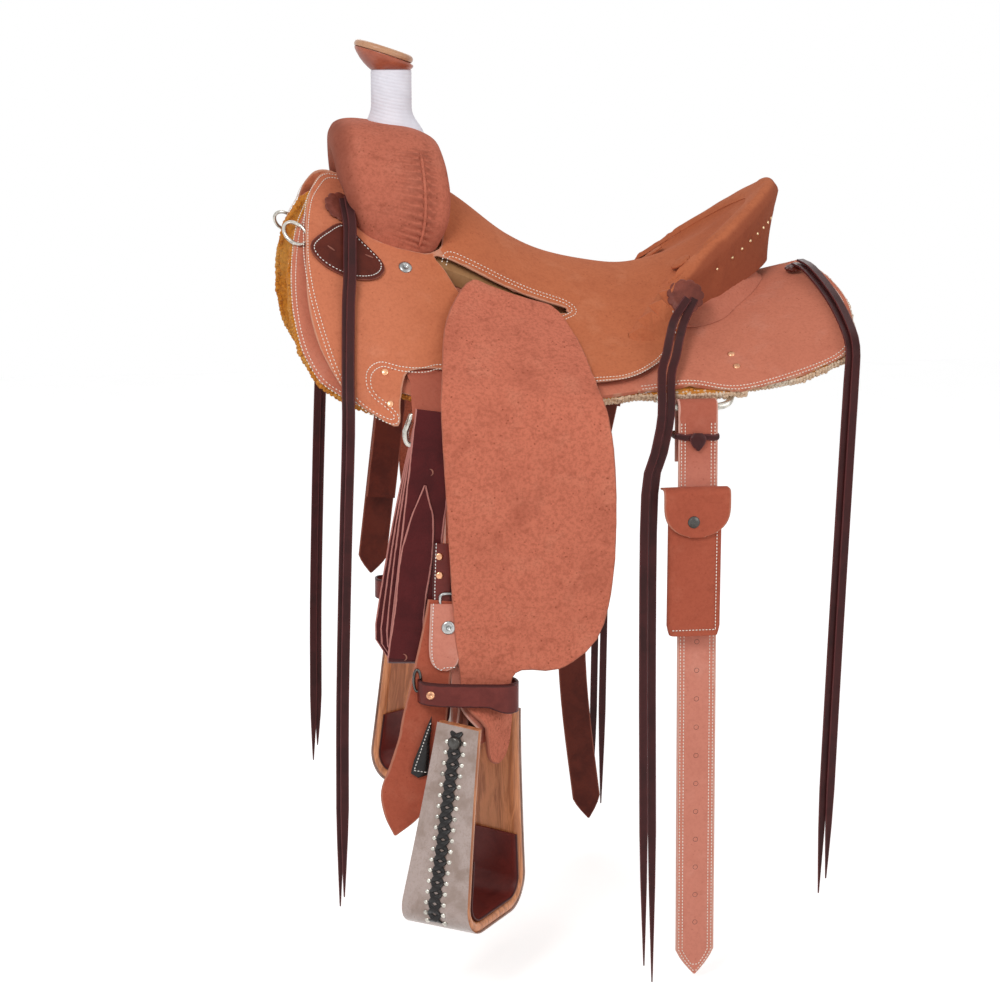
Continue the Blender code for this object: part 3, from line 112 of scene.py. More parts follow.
# Fenders and stirrups
FENDER_CLEAR = 4.0
FENDER_STANDOFF = 21.0
FENDER_SWING_X = -98.0
FENDER_BREAK_S = 300.0
FENDER_BEND = 150.0
FENDER_FOOT_S = 640.0
FENDER_FOOT_Y = 292.5
FENDER_FOOT_Z = -424.0
TWIST_TOP_Z = -436.0
TWIST_BOTTOM_Z = -480.0
PLY_STRAIGHT_Z = -400.0
PLY_LEAN = 0.08
PLY_GAP = 3.2
STIRRUP_LEATHER_WIDTH = 56.0
HOBBLE_Z = -441.0
HOBBLE_HALF = 63.0
HOBBLE_DEPTH = 25.0
HOBBLE_WIDTH = 30.0
HOBBLE_SHIFT = -14.0
HOBBLE_OUT = 5.0
HOBBLE_BROADER = 9.0
STIRRUP_TURN = math.radians(54.0)
BOLT_X = -152.0
BOLT_Y = 282.0
BOLT_Z = -490.0
STIRRUP_LEAN = 0.085
ROLLER_RADIUS = 12.0
STIRRUP_TOP = 20.0
STIRRUP_TOP_WIDTH = 58.0
STIRRUP_TREAD_WIDTH = 98.0
STIRRUP_HEIGHT = 266.0
STIRRUP_INNER_TOP = 88.0
STIRRUP_INNER_TREAD = 132.0
STIRRUP_WALL = 13.0
STIRRUP_BOTTOM = STIRRUP_TOP - STIRRUP_HEIGHT + STIRRUP_WALL / 2
STIRRUP_CORNER = 34.0
BINDING_OUT = 0.3
TREAD_COVER_THICK = 2.8
TREAD_COVER_HEIGHT = 92.0
LACE_PITCH = 14.0
LACE_HALF = (8.0, 6.6)
LACE_WIDTHS = [4.0, 5.8, 7.2, 7.8, 8.0, 7.8, 7.2, 5.8, 4.0]
NAIL_PLACE = (12.5, 6.8)

# Rings and straps
RING_X = -205.0
RING_WIRE = 4.0
RING_WIDTH = 76.0
RING_HEIGHT = 46.0
RING_BAR_S = 353.0
RING_TURN = math.radians(10.0)
DEE_X = 129.0
DEE_WIRE = 4.5
DEE_WIDTH = 106.0
DEE_TOP_S = 246.0
DEE_BOTTOM_S = 298.0
DEE_LAYER = -SKIRT_THICK - LAYER_GAP - DEE_WIRE - 2.0
LATIGO_WIDTH = 52.0
LATIGO_TOP_Z = -82.0
LATIGO_FOLD_Z = -392.0
LATIGO_OUTER = 13.5
LATIGO_LEAN = 0.12
BILLET_WIDTH = 51.0
BILLET_DRIFT = 0.010
BILLET_SLACK = 3.5
BILLET_TIP_Z = -839.0
BILLET_HOLE_PITCH = 38.0
FAR_BILLET_TIP_Z = -808.0
FAR_BILLET_WIDTH = 43.0
FAR_BILLET_BOW = 45.0
BILLET_HOLES = 11
FAR_BILLET_HOLES = 7
OFF_BILLET_WIDTH = 44.0
OFF_BILLET_PITCH = 32.0
OFF_BILLET_HOLES = 3
POUCH_SHIFT = -5.0
POUCH_WIDTH = 68.0
POUCH_DEPTH = 20.0
POUCH_TOP_Z = -190.0
POUCH_BOTTOM_Z = -374.0
FLAP_WIDTH = 86.0
FLAP_DROP = 55.0
POUCH_WALL = 2.6
BREAST_DEE_X = -364.0
BREAST_DEE_S = 172.0
BREAST_DEE_WIRE = 2.4
ROSETTE_RADIUS = 15.0
ROSETTE_LIFT = 5.2
ROSETTE_SCALLOPS = 11
ROSETTE_FRONT = (-305.0, 106.0)
ROSETTE_KEEPER = (131.0, 152.0)
ROSETTE_MID = (157.0, 84.0)
ROSETTE_REAR = (317.0, 46.0)
STRING_WIDTH = 11.0
STRING_THICK = 3.0

# Sewing
STITCH_PITCH = 4.3
STITCH_ROWS = 5.5
STRAP_STITCH_IN = 5.5

# Stations along the horse: x, height of the ridge line, slope at the ridge, slope at REACH
REACH = 360.0
STATIONS = (
    (-420.0, 268.0, 38.0, 68.0), (-330.0, 232.0, 36.0, 67.0), (-250.0, 178.0, 29.0, 64.0),
    (-150.0, 104.0, 18.0, 56.0), (-50.0, 52.0, 10.0, 47.0), (50.0, 35.0, 8.0, 44.0),
    (150.0, 42.0, 8.0, 44.0), (250.0, 60.0, 8.0, 46.0), (390.0, 90.0, 9.0, 48.0),
)
# How far the seat stands above the lower leathers on the centre line, along x
SEAT_LIFT = (
    (-330.0, 0.0), (-290.0, 2.0), (-250.0, 14.0), (-205.0, 38.0), (-160.0, 58.0), (-82.0, 45.0),
    (0.0, 38.0), (90.0, 31.0), (160.0, 27.0), (230.0, 20.0), (300.0, 14.0),
)
SEAT_LIFT_REACH = 190.0

# Outlines in x, s on the near side
RIDGE_SPLIT = 4.5
SKIRT_OUTLINE = (
    (-130, 22), (-165, 30), (-225, 34), (-293, 37), (-342, 106), (-363, 165), (-372, 228),
    (-372, 283), (-363, 333), (-342, 368), (-305, 379), (-260, 372), (-252, 338), (-160, 330),
    (-80, 300), (58, 272), (124, 268), (184, 290), (264, 283), (327, 264), (351, 223), (358, 159),
    (352, 91), (343, 40), (334, RIDGE_SPLIT), (250, RIDGE_SPLIT), (215, 22),
)
SEAT_HALF_OUTLINE = (
    (-172, 0), (-190, 42), (-240, 42), (-300, 42), (-325, 56), (-339, 84), (-347, 114),
    (-352, 155), (-354, 214), (-354, 269), (-344, 318), (-324, 355), (-303, 376), (-275, 384),
    (-247, 386), (-243, 353), (-236, 317), (-223, 303), (-187, 288), (-120, 282), (4, 267),
    (61, 250), (101, 216), (119, 170), (142, 153),
)
CONCHO_OUTLINE = (
    (-306, 135), (-328, 158), (-349, 191), (-334, 212), (-299, 215), (-266, 196), (-256, 169),
    (-280, 149),
)
SLOT_OUTLINE = (
    (-182, 118), (-174, 134), (-150, 162), (-128, 146), (-24, 138), (-16, 131), (-24, 125),
    (-100, 119),
)
FENDER_OUTLINE = (
    (-132, 128), (-160, 158), (-182, 215), (-192, 290), (-196, 380), (-190, 500), (-183, 590),
    (-176, 640), (-178, 700), (-170, 735), (-145, 748), (-122, 735), (-112, 700), (-112, 645),
    (-98, 628), (-50, 628), (-2, 596), (16, 540), (19, 470), (14, 390), (0, 290), (-12, 200),
    (-30, 145), (-60, 130), (-100, 126),
)
# Routes of the strings: over the leather as x, s, height and whether on the seat, then hanging
STRING_ROUTES = {
    "front": (
        (
            (-307, 100, 10, True), (-303, 140, 10, True), (-304, 175, 10, True),
            (-305, 222, 9, True), (-307, 260, 5.5, True), (-310, 360, 5, True),
        ),
        (
            (-313, 262, -110), (-319, 264, -260), (-325, 265, -450), (-327, 265, -590),
            (-329, 265, -722),
        ),
    ),
    "mid": (
        (
            (138, 150, 15, True), (133, 172, 17, True), (122, 205, 14, True),
            (110, 238, 9, True), (100, 262, 13, False),
        ),
        (
            (93, 276, -92), (84, 278, -140), (73, 277, -192), (73, 275, -380),
            (77, 273, -640), (80, 272, -848),
        ),
    ),
    "off_mid": (
        (
            (128, 153, 14, True), (124, 172, 16, True), (115, 205, 14, True),
            (110, 235, 10, True), (112, 260, 16, False),
        ),
        (
            (118, 281, -76), (123, 287, -104), (125, 287, -160), (124, 287, -320),
            (122, 286, -480), (120, 285, -640), (119, 284, -789),
        ),
    ),
    "rear": (
        (
            (317, 45, 11, False), (324, 80, 12, False), (333, 150, 6.5, False),
            (336, 215, 6.5, False), (334, 262, 6.5, False),
        ),
        (
            (331, 246, -60), (326, 252, -150), (318, 254, -380), (312, 254, -600),
            (309, 254, -744),
        ),
    ),
}
# name, route, side, shift along the horse, shift outwards, shortening
STRINGS = (
    ("front_near_a", "front", 1, 0.0, 0.0, 0.0),
    ("front_near_b", "front", 1, 5.0, 4.5, 14.0),
    ("mid_near_a", "mid", 1, 0.0, 0.0, 0.0),
    ("mid_near_b", "mid", 1, -12.5, 6.0, 26.0),
    ("rear_near_a", "rear", 1, 0.0, 0.0, 0.0),
    ("rear_near_b", "rear", 1, 8.0, 5.0, 22.0),
    ("front_far_a", "front", -1, 0.0, 0.0, 30.0),
    ("front_far_b", "front", -1, 7.0, 4.5, 52.0),
    ("mid_far_a", "off_mid", -1, 0.0, 0.0, 0.0),
    ("mid_far_b", "off_mid", -1, -12.5, 6.0, 30.0),
)
# Half of the fork seen from the front, from its top to its foot: y, z of its outer and
# inner faces and, for the same places, the x of its front and rear.
FORK_OUTER = (
    (0, FORK_TOP_Z), (60, FORK_TOP_Z - 9), (103, 214), (118, 162), (106, FORK_FOOT_Z),
)
FORK_INNER = ((0, 212), (28, 206), (56, 176), (70, 140), (72, FORK_FOOT_Z))
FORK_FRONT = ((-306, 0), (-305, 0), (-300, 0), (-293, 0), (-282, 0))
FORK_REAR = ((-180, 0), (-174, 0), (-168, 0), (-168, 0), (-188, 0))


# Surfaces


def through(stations, x, column):
    """Smooth value of a column at x, through the stations."""
    last = len(stations) - 1
    i = 0
    while i < last - 1 and x > stations[i + 1][0]:
        i += 1

    def slope(j):
        a, b = stations[max(j - 1, 0)], stations[min(j + 1, last)]
        return (b[column] - a[column]) / (b[0] - a[0])

    run = stations[i + 1][0] - stations[i][0]
    t = (x - stations[i][0]) / run
    t2, t3 = t * t, t * t * t
    return (
        (2 * t3 - 3 * t2 + 1) * stations[i][column]
        + (t3 - 2 * t2 + t) * run * slope(i)
        + (3 * t2 - 2 * t3) * stations[i + 1][column]
        + (t3 - t2) * run * slope(i + 1)
    )


@functools.lru_cache(maxsize=None)
def station_at(x):
    """Ridge height, slope at the ridge and slope change per millimetre at x."""
    at_ridge = math.radians(through(STATIONS, x, 2))
    at_reach = math.radians(through(STATIONS, x, 3))
    return through(STATIONS, x, 1), at_ridge, (at_reach - at_ridge) / REACH


def barrel(x, s):
    """Outer face of the skirt leather at x, s; near side for s over 0."""
    ridge, start, rate = station_at(x)
    slope = start + rate * abs(s)
    y = (math.sin(slope) - math.sin(start)) / rate
    z = ridge - (math.cos(start) - math.cos(slope)) / rate
    return Vector((x, -math.copysign(y, s), z))


def s_at(x, y):
    """Distance s at which the barrel reaches y."""
    _, start, rate = station_at(x)
    slope = math.asin(min(0.999, rate * abs(y) + math.sin(start)))
    return math.copysign((slope - start) / rate, -y)


def normal_of(surface, x, s):
    """Unit normal of a surface function, upwards."""
    step = 0.5
    along = surface(x + step, s) - surface(x - step, s)
    down = surface(x, s + step) - surface(x, s - step)
    normal = along.cross(down).normalized()
    return normal if normal.z > 0 else -normal


def layer(offset):
    """Surface function at an offset from the barrel."""
    return lambda x, s: barrel(x, s) + normal_of(barrel, x, s) * offset


@functools.lru_cache(maxsize=None)
def ridge_lift(x):
    return through(SEAT_LIFT, x, 1)


def seat_lift(x, s):
    fade = max(0.0, 1 - (s / SEAT_LIFT_REACH) ** 2)
    return ridge_lift(x) * fade * fade


def rim_x(y):
    """Line of the cantle rim in plan."""
    return CANTLE_RIM_X - CANTLE_CURVE * abs(y) ** 1.7


def dish_rise(x, y):
    """Height that the dished back of the seat adds in front of the cantle rim."""
    if x <= SEAT_DEEP_X or abs(y) >= CANTLE_HALF_WIDTH:
        return 0.0
    rim = rim_x(y)
    share = min(1.0, (x - SEAT_DEEP_X) / max(rim - SEAT_DEEP_X, 1.0))
    if x > rim + RIM_LEVEL:
        share = max(0.0, 1 - (x - rim - RIM_LEVEL) / RIM_FALL)
    return CANTLE_RISE * (1 - (y / CANTLE_HALF_WIDTH) ** 2) ** 0.45 * share**2.2


def seat_base(x, s):
    point = barrel(x, s)
    point.z += seat_lift(x, s) + dish_rise(x, point.y)
    return point


def seat_layer(offset):
    """Surface function at an offset from the shaped seat."""
    return lambda x, s: seat_base(x, s) + normal_of(seat_base, x, s) * offset


def bar_top(x, s):
    """Upper face of the tree bars."""
    point = barrel(x, s) + normal_of(barrel, x, s) * (LAYER_GAP + RIGGING_THICK)
    point.z += 0.7 * seat_lift(x, s)
    return point


def height_at(surface, x, y):
    """Height of a surface function above a point in plan."""
    s = s_at(x, y)
    for _ in range(4):
        step = (abs(y) - abs(surface(x, s).y)) * 1.1
        s += step if s > 0 else -step
    return surface(x, s).z


def squarer(value, power):
    """A sine or cosine raised towards 1, which makes a round outline squarer."""
    return math.copysign(abs(value) ** power, value)


def ease(share):
    share = min(1.0, max(0.0, share))
    return share * share * (3 - 2 * share)


# Lines


def smooth_line(points, steps=3, closed=False):
    """Points along a smooth curve through the given ones."""
    points = [Vector(p) for p in points]
    count = len(points)
    line = []
    for i in range(count if closed else count - 1):
        if closed:
            a, b, c, d = (points[(i + k) % count] for k in (-1, 0, 1, 2))
        else:
            b, c = points[i], points[i + 1]
            a = points[i - 1] if i else b * 2 - c
            d = points[i + 2] if i + 2 < count else c * 2 - b
        for k in range(steps):
            t = k / steps
            line.append(
                0.5
                * (
                    2 * b
                    + (c - a) * t
                    + (2 * a - 5 * b + 4 * c - d) * t * t
                    + (3 * b - a - 3 * c + d) * t**3
                )
            )
    if not closed:
        line.append(points[-1])
    return line


def smooth_widths(widths, steps):
    """Widths that pass smoothly through the given ones."""
    return [w.x for w in smooth_line([(w, 0, 0) for w in widths], steps)]


@functools.lru_cache(maxsize=None)
def smooth_flat(points):
    return smooth_line([Vector((*p, 0)) for p in points], 8)


def smooth_at(points, share):
    """Point at a share of a smooth open curve."""
    line = smooth_flat(points)
    place = share * (len(line) - 1)
    i = min(int(place), len(line) - 2)
    return (line[i] + (line[i + 1] - line[i]) * (place - i)).xy


def flat(points):
    """Flat outline as vectors, whatever its points hold beyond x and s."""
    return [Vector((p[0], p[1])) for p in points]


def rounded(outline, steps=4):
    """Closed flat outline drawn as a smooth curve."""
    return flat(smooth_line([Vector((p[0], p[1], 0)) for p in outline], steps, closed=True))


def evenly(points, pitch, closed=False):
    """Points about a pitch apart along a line, each with the direction of the line there."""
    points = [Vector(p) for p in points]
    if closed:
        points.append(points[0])
    lengths = [(b - a).length for a, b in zip(points, points[1:])]
    total = sum(lengths)
    count = max(2, round(total / pitch))
    found = []
    i, before = 0, 0.0
    for k in range(count + (not closed)):
        want = total * k / count
        while i < len(lengths) - 1 and before + lengths[i] < want:
            before += lengths[i]
            i += 1
        way = points[i + 1] - points[i]
        share = min(1.0, (want - before) / max(lengths[i], 1e-6))
        found.append((points[i] + way * share, way.normalized()))
    return found


def inset(outline, distance, closed=True):
    """A flat outline moved inwards, for a row of stitches beside an edge."""
    points = flat(outline)
    count = len(points)
    area = sum(points[i - 1].cross(points[i]) for i in range(count))
    turn = distance if area > 0 else -distance
    moved = []
    for i, point in enumerate(points):
        before = points[i - 1] if closed or i else point
        after = points[(i + 1) % count] if closed or i < count - 1 else point
        way = (after - before).normalized()
        moved.append(point + Vector((-way.y, way.x)) * turn)
    return moved


# Making pieces

MIRRORED = Matrix.Diagonal((1.0, -1.0, 1.0, 1.0))


def finished(bm, name, look, body, nodes=(), side=1, sharp=40.0):
    """Object from a bmesh in millimetres: metres, smooth shading, its look, body and nodes.

    The body is a name, or two names and the points between which the piece bends.
    """
    if "rim" not in bm.verts.layers.float:
        rim = bm.verts.layers.float.new("rim")
        for v in bm.verts:
            v[rim] = 1.0
    if side < 0:
        bmesh.ops.transform(bm, matrix=MIRRORED, verts=bm.verts[:])
    bmesh.ops.recalc_face_normals(bm, faces=bm.faces[:])
    bmesh.ops.scale(bm, vec=Vector((MM, MM, MM)), verts=bm.verts[:])
    mesh = bpy.data.meshes.new(name)
    bm.to_mesh(mesh)
    bm.free()
    mesh.shade_smooth()
    mesh.set_sharp_from_angle(angle=math.radians(sharp))
    mesh.materials.append(look)
    piece = bpy.data.objects.new(name, mesh)
    bpy.context.scene.collection.objects.link(piece)
    if isinstance(body, tuple):
        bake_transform(piece, *body)
    else:
        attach(piece, body)
    if nodes:
        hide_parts(*nodes)
    return piece


def cut_flat(outlines, step, rim):
    """Flat leather from its outline and any holes, with a narrow rim, cut into a grid."""
    bm = bmesh.new()
    edges = []
    for outline in outlines:
        ring = [bm.verts.new((p[0], p[1], 0)) for p in outline]
        edges += [bm.edges.new((a, b)) for a, b in zip(ring, ring[1:] + ring[:1])]
    bmesh.ops.triangle_fill(bm, use_beauty=True, use_dissolve=False, edges=edges)
    fill = bm.edges.layers.int.new("fill")
    for edge in bm.edges:
        edge[fill] = int(not edge.is_boundary)
    bmesh.ops.inset_region(
        bm, faces=bm.faces[:], thickness=rim, use_even_offset=True, use_boundary=True
    )
    for axis in (0, 1):
        low = min(v.co[axis] for v in bm.verts)
        high = max(v.co[axis] for v in bm.verts)
        direction = Vector((1, 0, 0)) if axis == 0 else Vector((0, 1, 0))
        count = max(2, round((high - low) / step))
        for k in range(1, count):
            bmesh.ops.bisect_plane(
                bm,
                geom=bm.verts[:] + bm.edges[:] + bm.faces[:],
                plane_co=direction * (low + (high - low) * k / count),
                plane_no=direction,
                dist=0.05,
            )
    inner = [e for e in bm.edges if e[fill] and len(e.link_faces) == 2]
    bmesh.ops.dissolve_edges(bm, edges=inner, use_verts=True)
    return bm


def leather(name, outline, low, high, look, body, nodes=(), side=1, holes=(), step=9.0, wave=0.0):
    """Leather cut to a flat outline and bent between two surfaces, with eased edges."""
    bm = cut_flat([outline, *holes], step, 1.4)
    border = kdtree.KDTree(sum(len(ring) for ring in (outline, *holes)) * 12)
    for ring in (outline, *holes):
        ring = flat(ring)
        for a, b in zip(ring, ring[1:] + ring[:1]):
            for k in range(12):
                border.insert((*a.lerp(b, k / 12), 0.0), 0)
    border.balance()
    cut = bm.loops.layers.uv.new("cut")
    for face in bm.faces:
        for loop in face.loops:
            loop[cut].uv = loop.vert.co.xy * MM
    rim = bm.verts.layers.float.new("rim")
    for v in bm.verts:
        v[rim] = min(1.0, border.find(v.co)[2] / 12.0)
    raised = bmesh.ops.extrude_face_region(bm, geom=bm.faces[:], use_keep_orig=True)
    upper = {e for e in raised["geom"] if isinstance(e, bmesh.types.BMVert)}
    places = {}
    for v in bm.verts:
        x, s = v.co.x, v.co.y
        key = (round(x, 3), round(s, 3))
        if key not in places:
            bottom, top = low(x, s), high(x, s)
            out = (top - bottom).normalized() * wave
            out *= noise.noise(Vector((x, s, 7.0 * side)) / 55.0)
            places[key] = (bottom + out, top + out)
        bottom, top = places[key]
        ease_in = 0.3 if v[rim] < 0.06 else 0.0
        v.co = top.lerp(bottom, ease_in) if v in upper else bottom.lerp(top, ease_in)
    return finished(bm, name, look, body, nodes, side)


def on_side(body, label):
    """Body of a side's piece: a name that ends in _ takes the side's label."""
    return body + label if body.endswith("_") else body


def leathers(name, outline, low, high, look, body, node="", **cut):
    """The same leather on both sides."""
    for side, label in SIDES:
        nodes = [node + label] if node else ()
        leather(name + label, outline, low, high, look, on_side(body, label), nodes, side, **cut)


def both(build, name, look, body, node="", **finish):
    """The same piece on both sides, its mesh from a function."""
    for side, label in SIDES:
        nodes = [node + label] if node else ()
        finished(build(), name + label, look, on_side(body, label), nodes, side, **finish)


def grid(columns, rows, place, wrap=False):
    """Grid whose points go where place(a, b) says, with a and b from 0 to 1."""
    bm = bmesh.new()
    bmesh.ops.create_grid(bm, x_segments=columns, y_segments=rows, size=0.5)
    for v in bm.verts:
        v.co = Vector(place(v.co.x + 0.5, v.co.y + 0.5))
    if wrap:
        bmesh.ops.remove_doubles(bm, verts=bm.verts[:], dist=0.01)
    return bm


def close_ends(bm):
    bmesh.ops.holes_fill(bm, edges=[e for e in bm.edges if e.is_boundary], sides=0)


def shell(columns, rows, inner, outer):
    """Closed wall between two surfaces given as functions of shares a and b."""
    bm = bmesh.new()
    share = bm.verts.layers.float_vector.new("share")
    bmesh.ops.create_grid(bm, x_segments=columns, y_segments=rows, size=0.5)
    raised = bmesh.ops.extrude_face_region(bm, geom=bm.faces[:], use_keep_orig=True)
    upper = {e for e in raised["geom"] if isinstance(e, bmesh.types.BMVert)}
    for v in bm.verts:
        a, b = v.co.x + 0.5, v.co.y + 0.5
        v[share] = (a, b, 1.0 if v in upper else 0.0)
        v.co = Vector((outer if v in upper else inner)(a, b))
    return bm


def frames_along(path, across=None, closed=False):
    """For each point of a path: the point, a direction across it and one out of its face."""
    path = [Vector(p) for p in path]
    count = len(path)
    found = []
    for i, point in enumerate(path):
        before = path[i - 1] if closed or i else point
        after = path[(i + 1) % count] if closed or i < count - 1 else point
        way = (after - before).normalized()
        if across is None:
            side = found[-1][1] if found else way.orthogonal()
        else:
            side = Vector(across[i]) if isinstance(across, list) else Vector(across)
        side = (side - way * side.dot(way)).normalized()
        found.append((point, side, way.cross(side)))
    return found


def tube(path, radius, sides=12, closed=False, across=None):
    """Round bar along a path; the radius may be a list, one for each point."""
    frames = frames_along(path, across, closed)
    count = len(frames)
    rows = count if closed else count - 1

    def place(a, b):
        i = round(b * rows) % count
        point, side, out = frames[i]
        r = radius[i] if isinstance(radius, (list, tuple)) else radius
        angle = 2 * math.pi * a
        return point + side * math.cos(angle) * r + out * math.sin(angle) * r

    bm = grid(sides, rows, place, wrap=True)
    if not closed:
        close_ends(bm)
    return bm


def ribbon(path, across, widths, thick, closed=False, columns=6, crown=0.0, shave=0.9):
    """Flat strap along a path, its edges eased and its face crowned."""
    frames = frames_along(path, across, closed)
    count = len(frames)
    rows = count if closed else count - 1
    top = [(2 * k / columns - 1, 1.0) for k in range(columns + 1)]
    ring = [(-1.0, 0.35)] + top + [(1.0, 0.35), (1.0, -0.35)]
    ring += [(a, -b) for a, b in reversed(top)] + [(-1.0, -0.35)]
    sides = len(ring)
    half = [w / 2 for w in widths] if isinstance(widths, (list, tuple)) else [widths / 2] * count
    run = [0.0]
    for a, b in zip(frames, frames[1:] + frames[:1]):
        run.append(run[-1] + (b[0] - a[0]).length)

    def place(a, b):
        i = round(b * rows) % count
        k = round(a * sides) % sides
        point, side, out = frames[i]
        share, level = ring[k]
        eased = half[i] if abs(level) < 1 else max(half[i] - shave, 0.2)
        lift = level * thick / 2
        lift += crown * (1 - share * share) if level > 0 else 0.0
        return point + side * share * eased + out * lift

    bm = grid(sides, rows, lambda a, b: (a, b, 0.0))
    cut = bm.loops.layers.uv.new("cut")
    rim = bm.verts.layers.float.new("rim")
    for face in bm.faces:
        for loop in face.loops:
            a, b = loop.vert.co.x, loop.vert.co.y
            i = round(b * rows) % count
            share = ring[round(a * sides) % sides][0]
            along = run[-1] if closed and round(b * rows) == rows else run[i]
            loop[cut].uv = (share * half[i] * MM, along * MM)
            loop.vert[rim] = min(1.0, (1 - abs(share)) * half[i] / 12.0)
    for v in bm.verts:
        v.co = place(v.co.x, v.co.y)
    bmesh.ops.remove_doubles(bm, verts=bm.verts[:], dist=0.002)
    if not closed:
        close_ends(bm)
    return bm


def turned(profile, centre, axis, sides=32, bm=None):
    """Turned piece: a profile of (radius, height) spun about an axis."""
    axis = Vector(axis).normalized()
    first = axis.orthogonal().normalized()
    centre = Vector(centre)
    made = bmesh.new()
    line = [made.verts.new(centre + first * r + axis * h) for r, h in profile]
    edges = [made.edges.new(pair) for pair in zip(line, line[1:])]
    bmesh.ops.spin(
        made,
        geom=line + edges,
        cent=centre,
        axis=axis,
        angle=2 * math.pi,
        steps=sides,
        use_merge=True,
        use_duplicate=False,
    )
    bmesh.ops.remove_doubles(made, verts=made.verts[:], dist=0.002)
    if bm is None:
        return made
    join(bm, made)
    return bm


def join(bm, other):
    """Puts the geometry of one bmesh into another and frees it."""
    passing = bpy.data.meshes.new("passing")
    other.to_mesh(passing)
    other.free()
    bm.from_mesh(passing)
    bpy.data.meshes.remove(passing)


class Gathered:
    """Small things of one look, joined into one piece for each body and side."""

    def __init__(self, name, look):
        self.name = name
        self.look = look
        self.parts = {}

    def bmesh_for(self, body, side=1):
        """The mesh that is being filled; a full one is put by and a new one begun."""
        batches = self.parts.setdefault((body, side), [])
        if not batches or len(batches[-1].verts) > 900:
            batches.append(bmesh.new())
        return batches[-1]

    def bead(self, body, point, way, normal, size, side=1):
        """One stitch: a small rounded grain of length, width and height, half sunk."""
        way = Vector(way).normalized()
        normal = (normal - way * normal.dot(way)).normalized()
        turn = Matrix((way, normal.cross(way), normal)).transposed().to_4x4()
        shape = Matrix.Diagonal((size[0] / 2, size[1] / 2, size[2] / 2, 1.0))
        bmesh.ops.create_uvsphere(
            self.bmesh_for(body, side),
            u_segments=6,
            v_segments=5,
            radius=1.0,
            matrix=Matrix.Translation(point) @ turn @ shape,
        )

    def turned(self, body, profile, centre, axis, sides=16, side=1):
        turned(profile, centre, axis, sides, self.bmesh_for(body, side))

    def done(self):
        for (body, side), batches in sorted(self.parts.items(), key=lambda part: part[0]):
            label = "" if body.endswith(("near", "far")) else "_near" if side > 0 else "_far"
            bm = bmesh.new()
            for batch in batches:
                join(bm, batch)
            finished(bm, f"{self.name}_{body}{label}", self.look, body, side=side, sharp=80.0)


STITCH = (3.3, 1.45, 1.1)


def sew(thread, body, line, surface, side=1, closed=False, pitch=STITCH_PITCH, size=STITCH):
    """Row of stitches along a flat line on a surface function."""
    for spot, way in evenly(flat(line), pitch, closed):
        x, s = spot
        here = surface(x, s)
        along = surface(x + way.x, s + way.y) - surface(x - way.x, s - way.y)
        normal = normal_of(surface, x, s)
        thread.bead(body, here + normal * 0.15, along, normal, size, side)


def sew_path(thread, body, path, normals, side=1, closed=False, pitch=STITCH_PITCH, size=STITCH):
    """Row of stitches along a path in space, with the outward direction at each point."""
    path = [Vector(p) for p in path]
    for spot, way in evenly(path, pitch, closed):
        nearest = min(range(len(path)), key=lambda i: (path[i] - spot).length_squared)
        normal = Vector(normals[nearest]) if isinstance(normals, list) else Vector(normals)
        thread.bead(body, spot + normal * 0.15, way, normal, size, side)


# Finishes


def make(tree, kind, **settings):
    """New node with its settings."""
    made = tree.nodes.new("ShaderNode" + kind)
    for name, value in settings.items():
        setattr(made, name, value)
    return made


def feed(tree, source, target):
    """Gives a socket a link from another socket, or a plain value."""
    if isinstance(source, bpy.types.NodeSocket):
        tree.links.new(source, target)
    elif isinstance(source, tuple) and len(source) == 3 and target.type == "RGBA":
        target.default_value = (*source, 1.0)
    else:
        target.default_value = source


def blended(tree, amount, first, second, mode="MIX"):
    """Colour between two colours."""
    mix = make(tree, "Mix", data_type="RGBA", blend_type=mode)
    feed(tree, amount, mix.inputs[0])
    feed(tree, first, mix.inputs[6])
    feed(tree, second, mix.inputs[7])
    return mix.outputs[2]


def sum_of(tree, first, second, mode="ADD"):
    """Sum of two values, or what another operation makes of them."""
    maths = make(tree, "Math", operation=mode)
    feed(tree, first, maths.inputs[0])
    feed(tree, second, maths.inputs[1])
    return maths.outputs[0]


def times(tree, first, second):
    return sum_of(tree, first, second, "MULTIPLY")


def ranged(tree, value, low, high, to_low=0.0, to_high=1.0):
    """Value brought from one range to another, clamped."""
    spread = make(tree, "MapRange", interpolation_type="SMOOTHSTEP")
    feed(tree, value, spread.inputs["Value"])
    for socket, amount in zip(spread.inputs[1:5], (low, high, to_low, to_high)):
        feed(tree, amount, socket)
    return spread.outputs["Result"]


def noisy(tree, place, scale, detail=3.0, roughness=0.55, distortion=0.0):
    cloud = make(tree, "TexNoise")
    feed(tree, place, cloud.inputs["Vector"])
    feed(tree, scale, cloud.inputs["Scale"])
    feed(tree, detail, cloud.inputs["Detail"])
    feed(tree, roughness, cloud.inputs["Roughness"])
    feed(tree, distortion, cloud.inputs["Distortion"])
    return cloud.outputs["Fac"]


def stretched(tree, place, scale):
    """Coordinates stretched by a scale along each axis."""
    mapping = make(tree, "Mapping")
    feed(tree, place, mapping.inputs["Vector"])
    feed(tree, scale, mapping.inputs["Scale"])
    return mapping.outputs["Vector"]


def cells(tree, place, scale, feature="F1"):
    pattern = make(tree, "TexVoronoi", feature=feature)
    feed(tree, place, pattern.inputs["Vector"])
    feed(tree, scale, pattern.inputs["Scale"])
    return pattern.outputs["Distance"]


SOCKETS = {"colour": "NodeSocketColor", "value": "NodeSocketFloat", "place": "NodeSocketVector"}


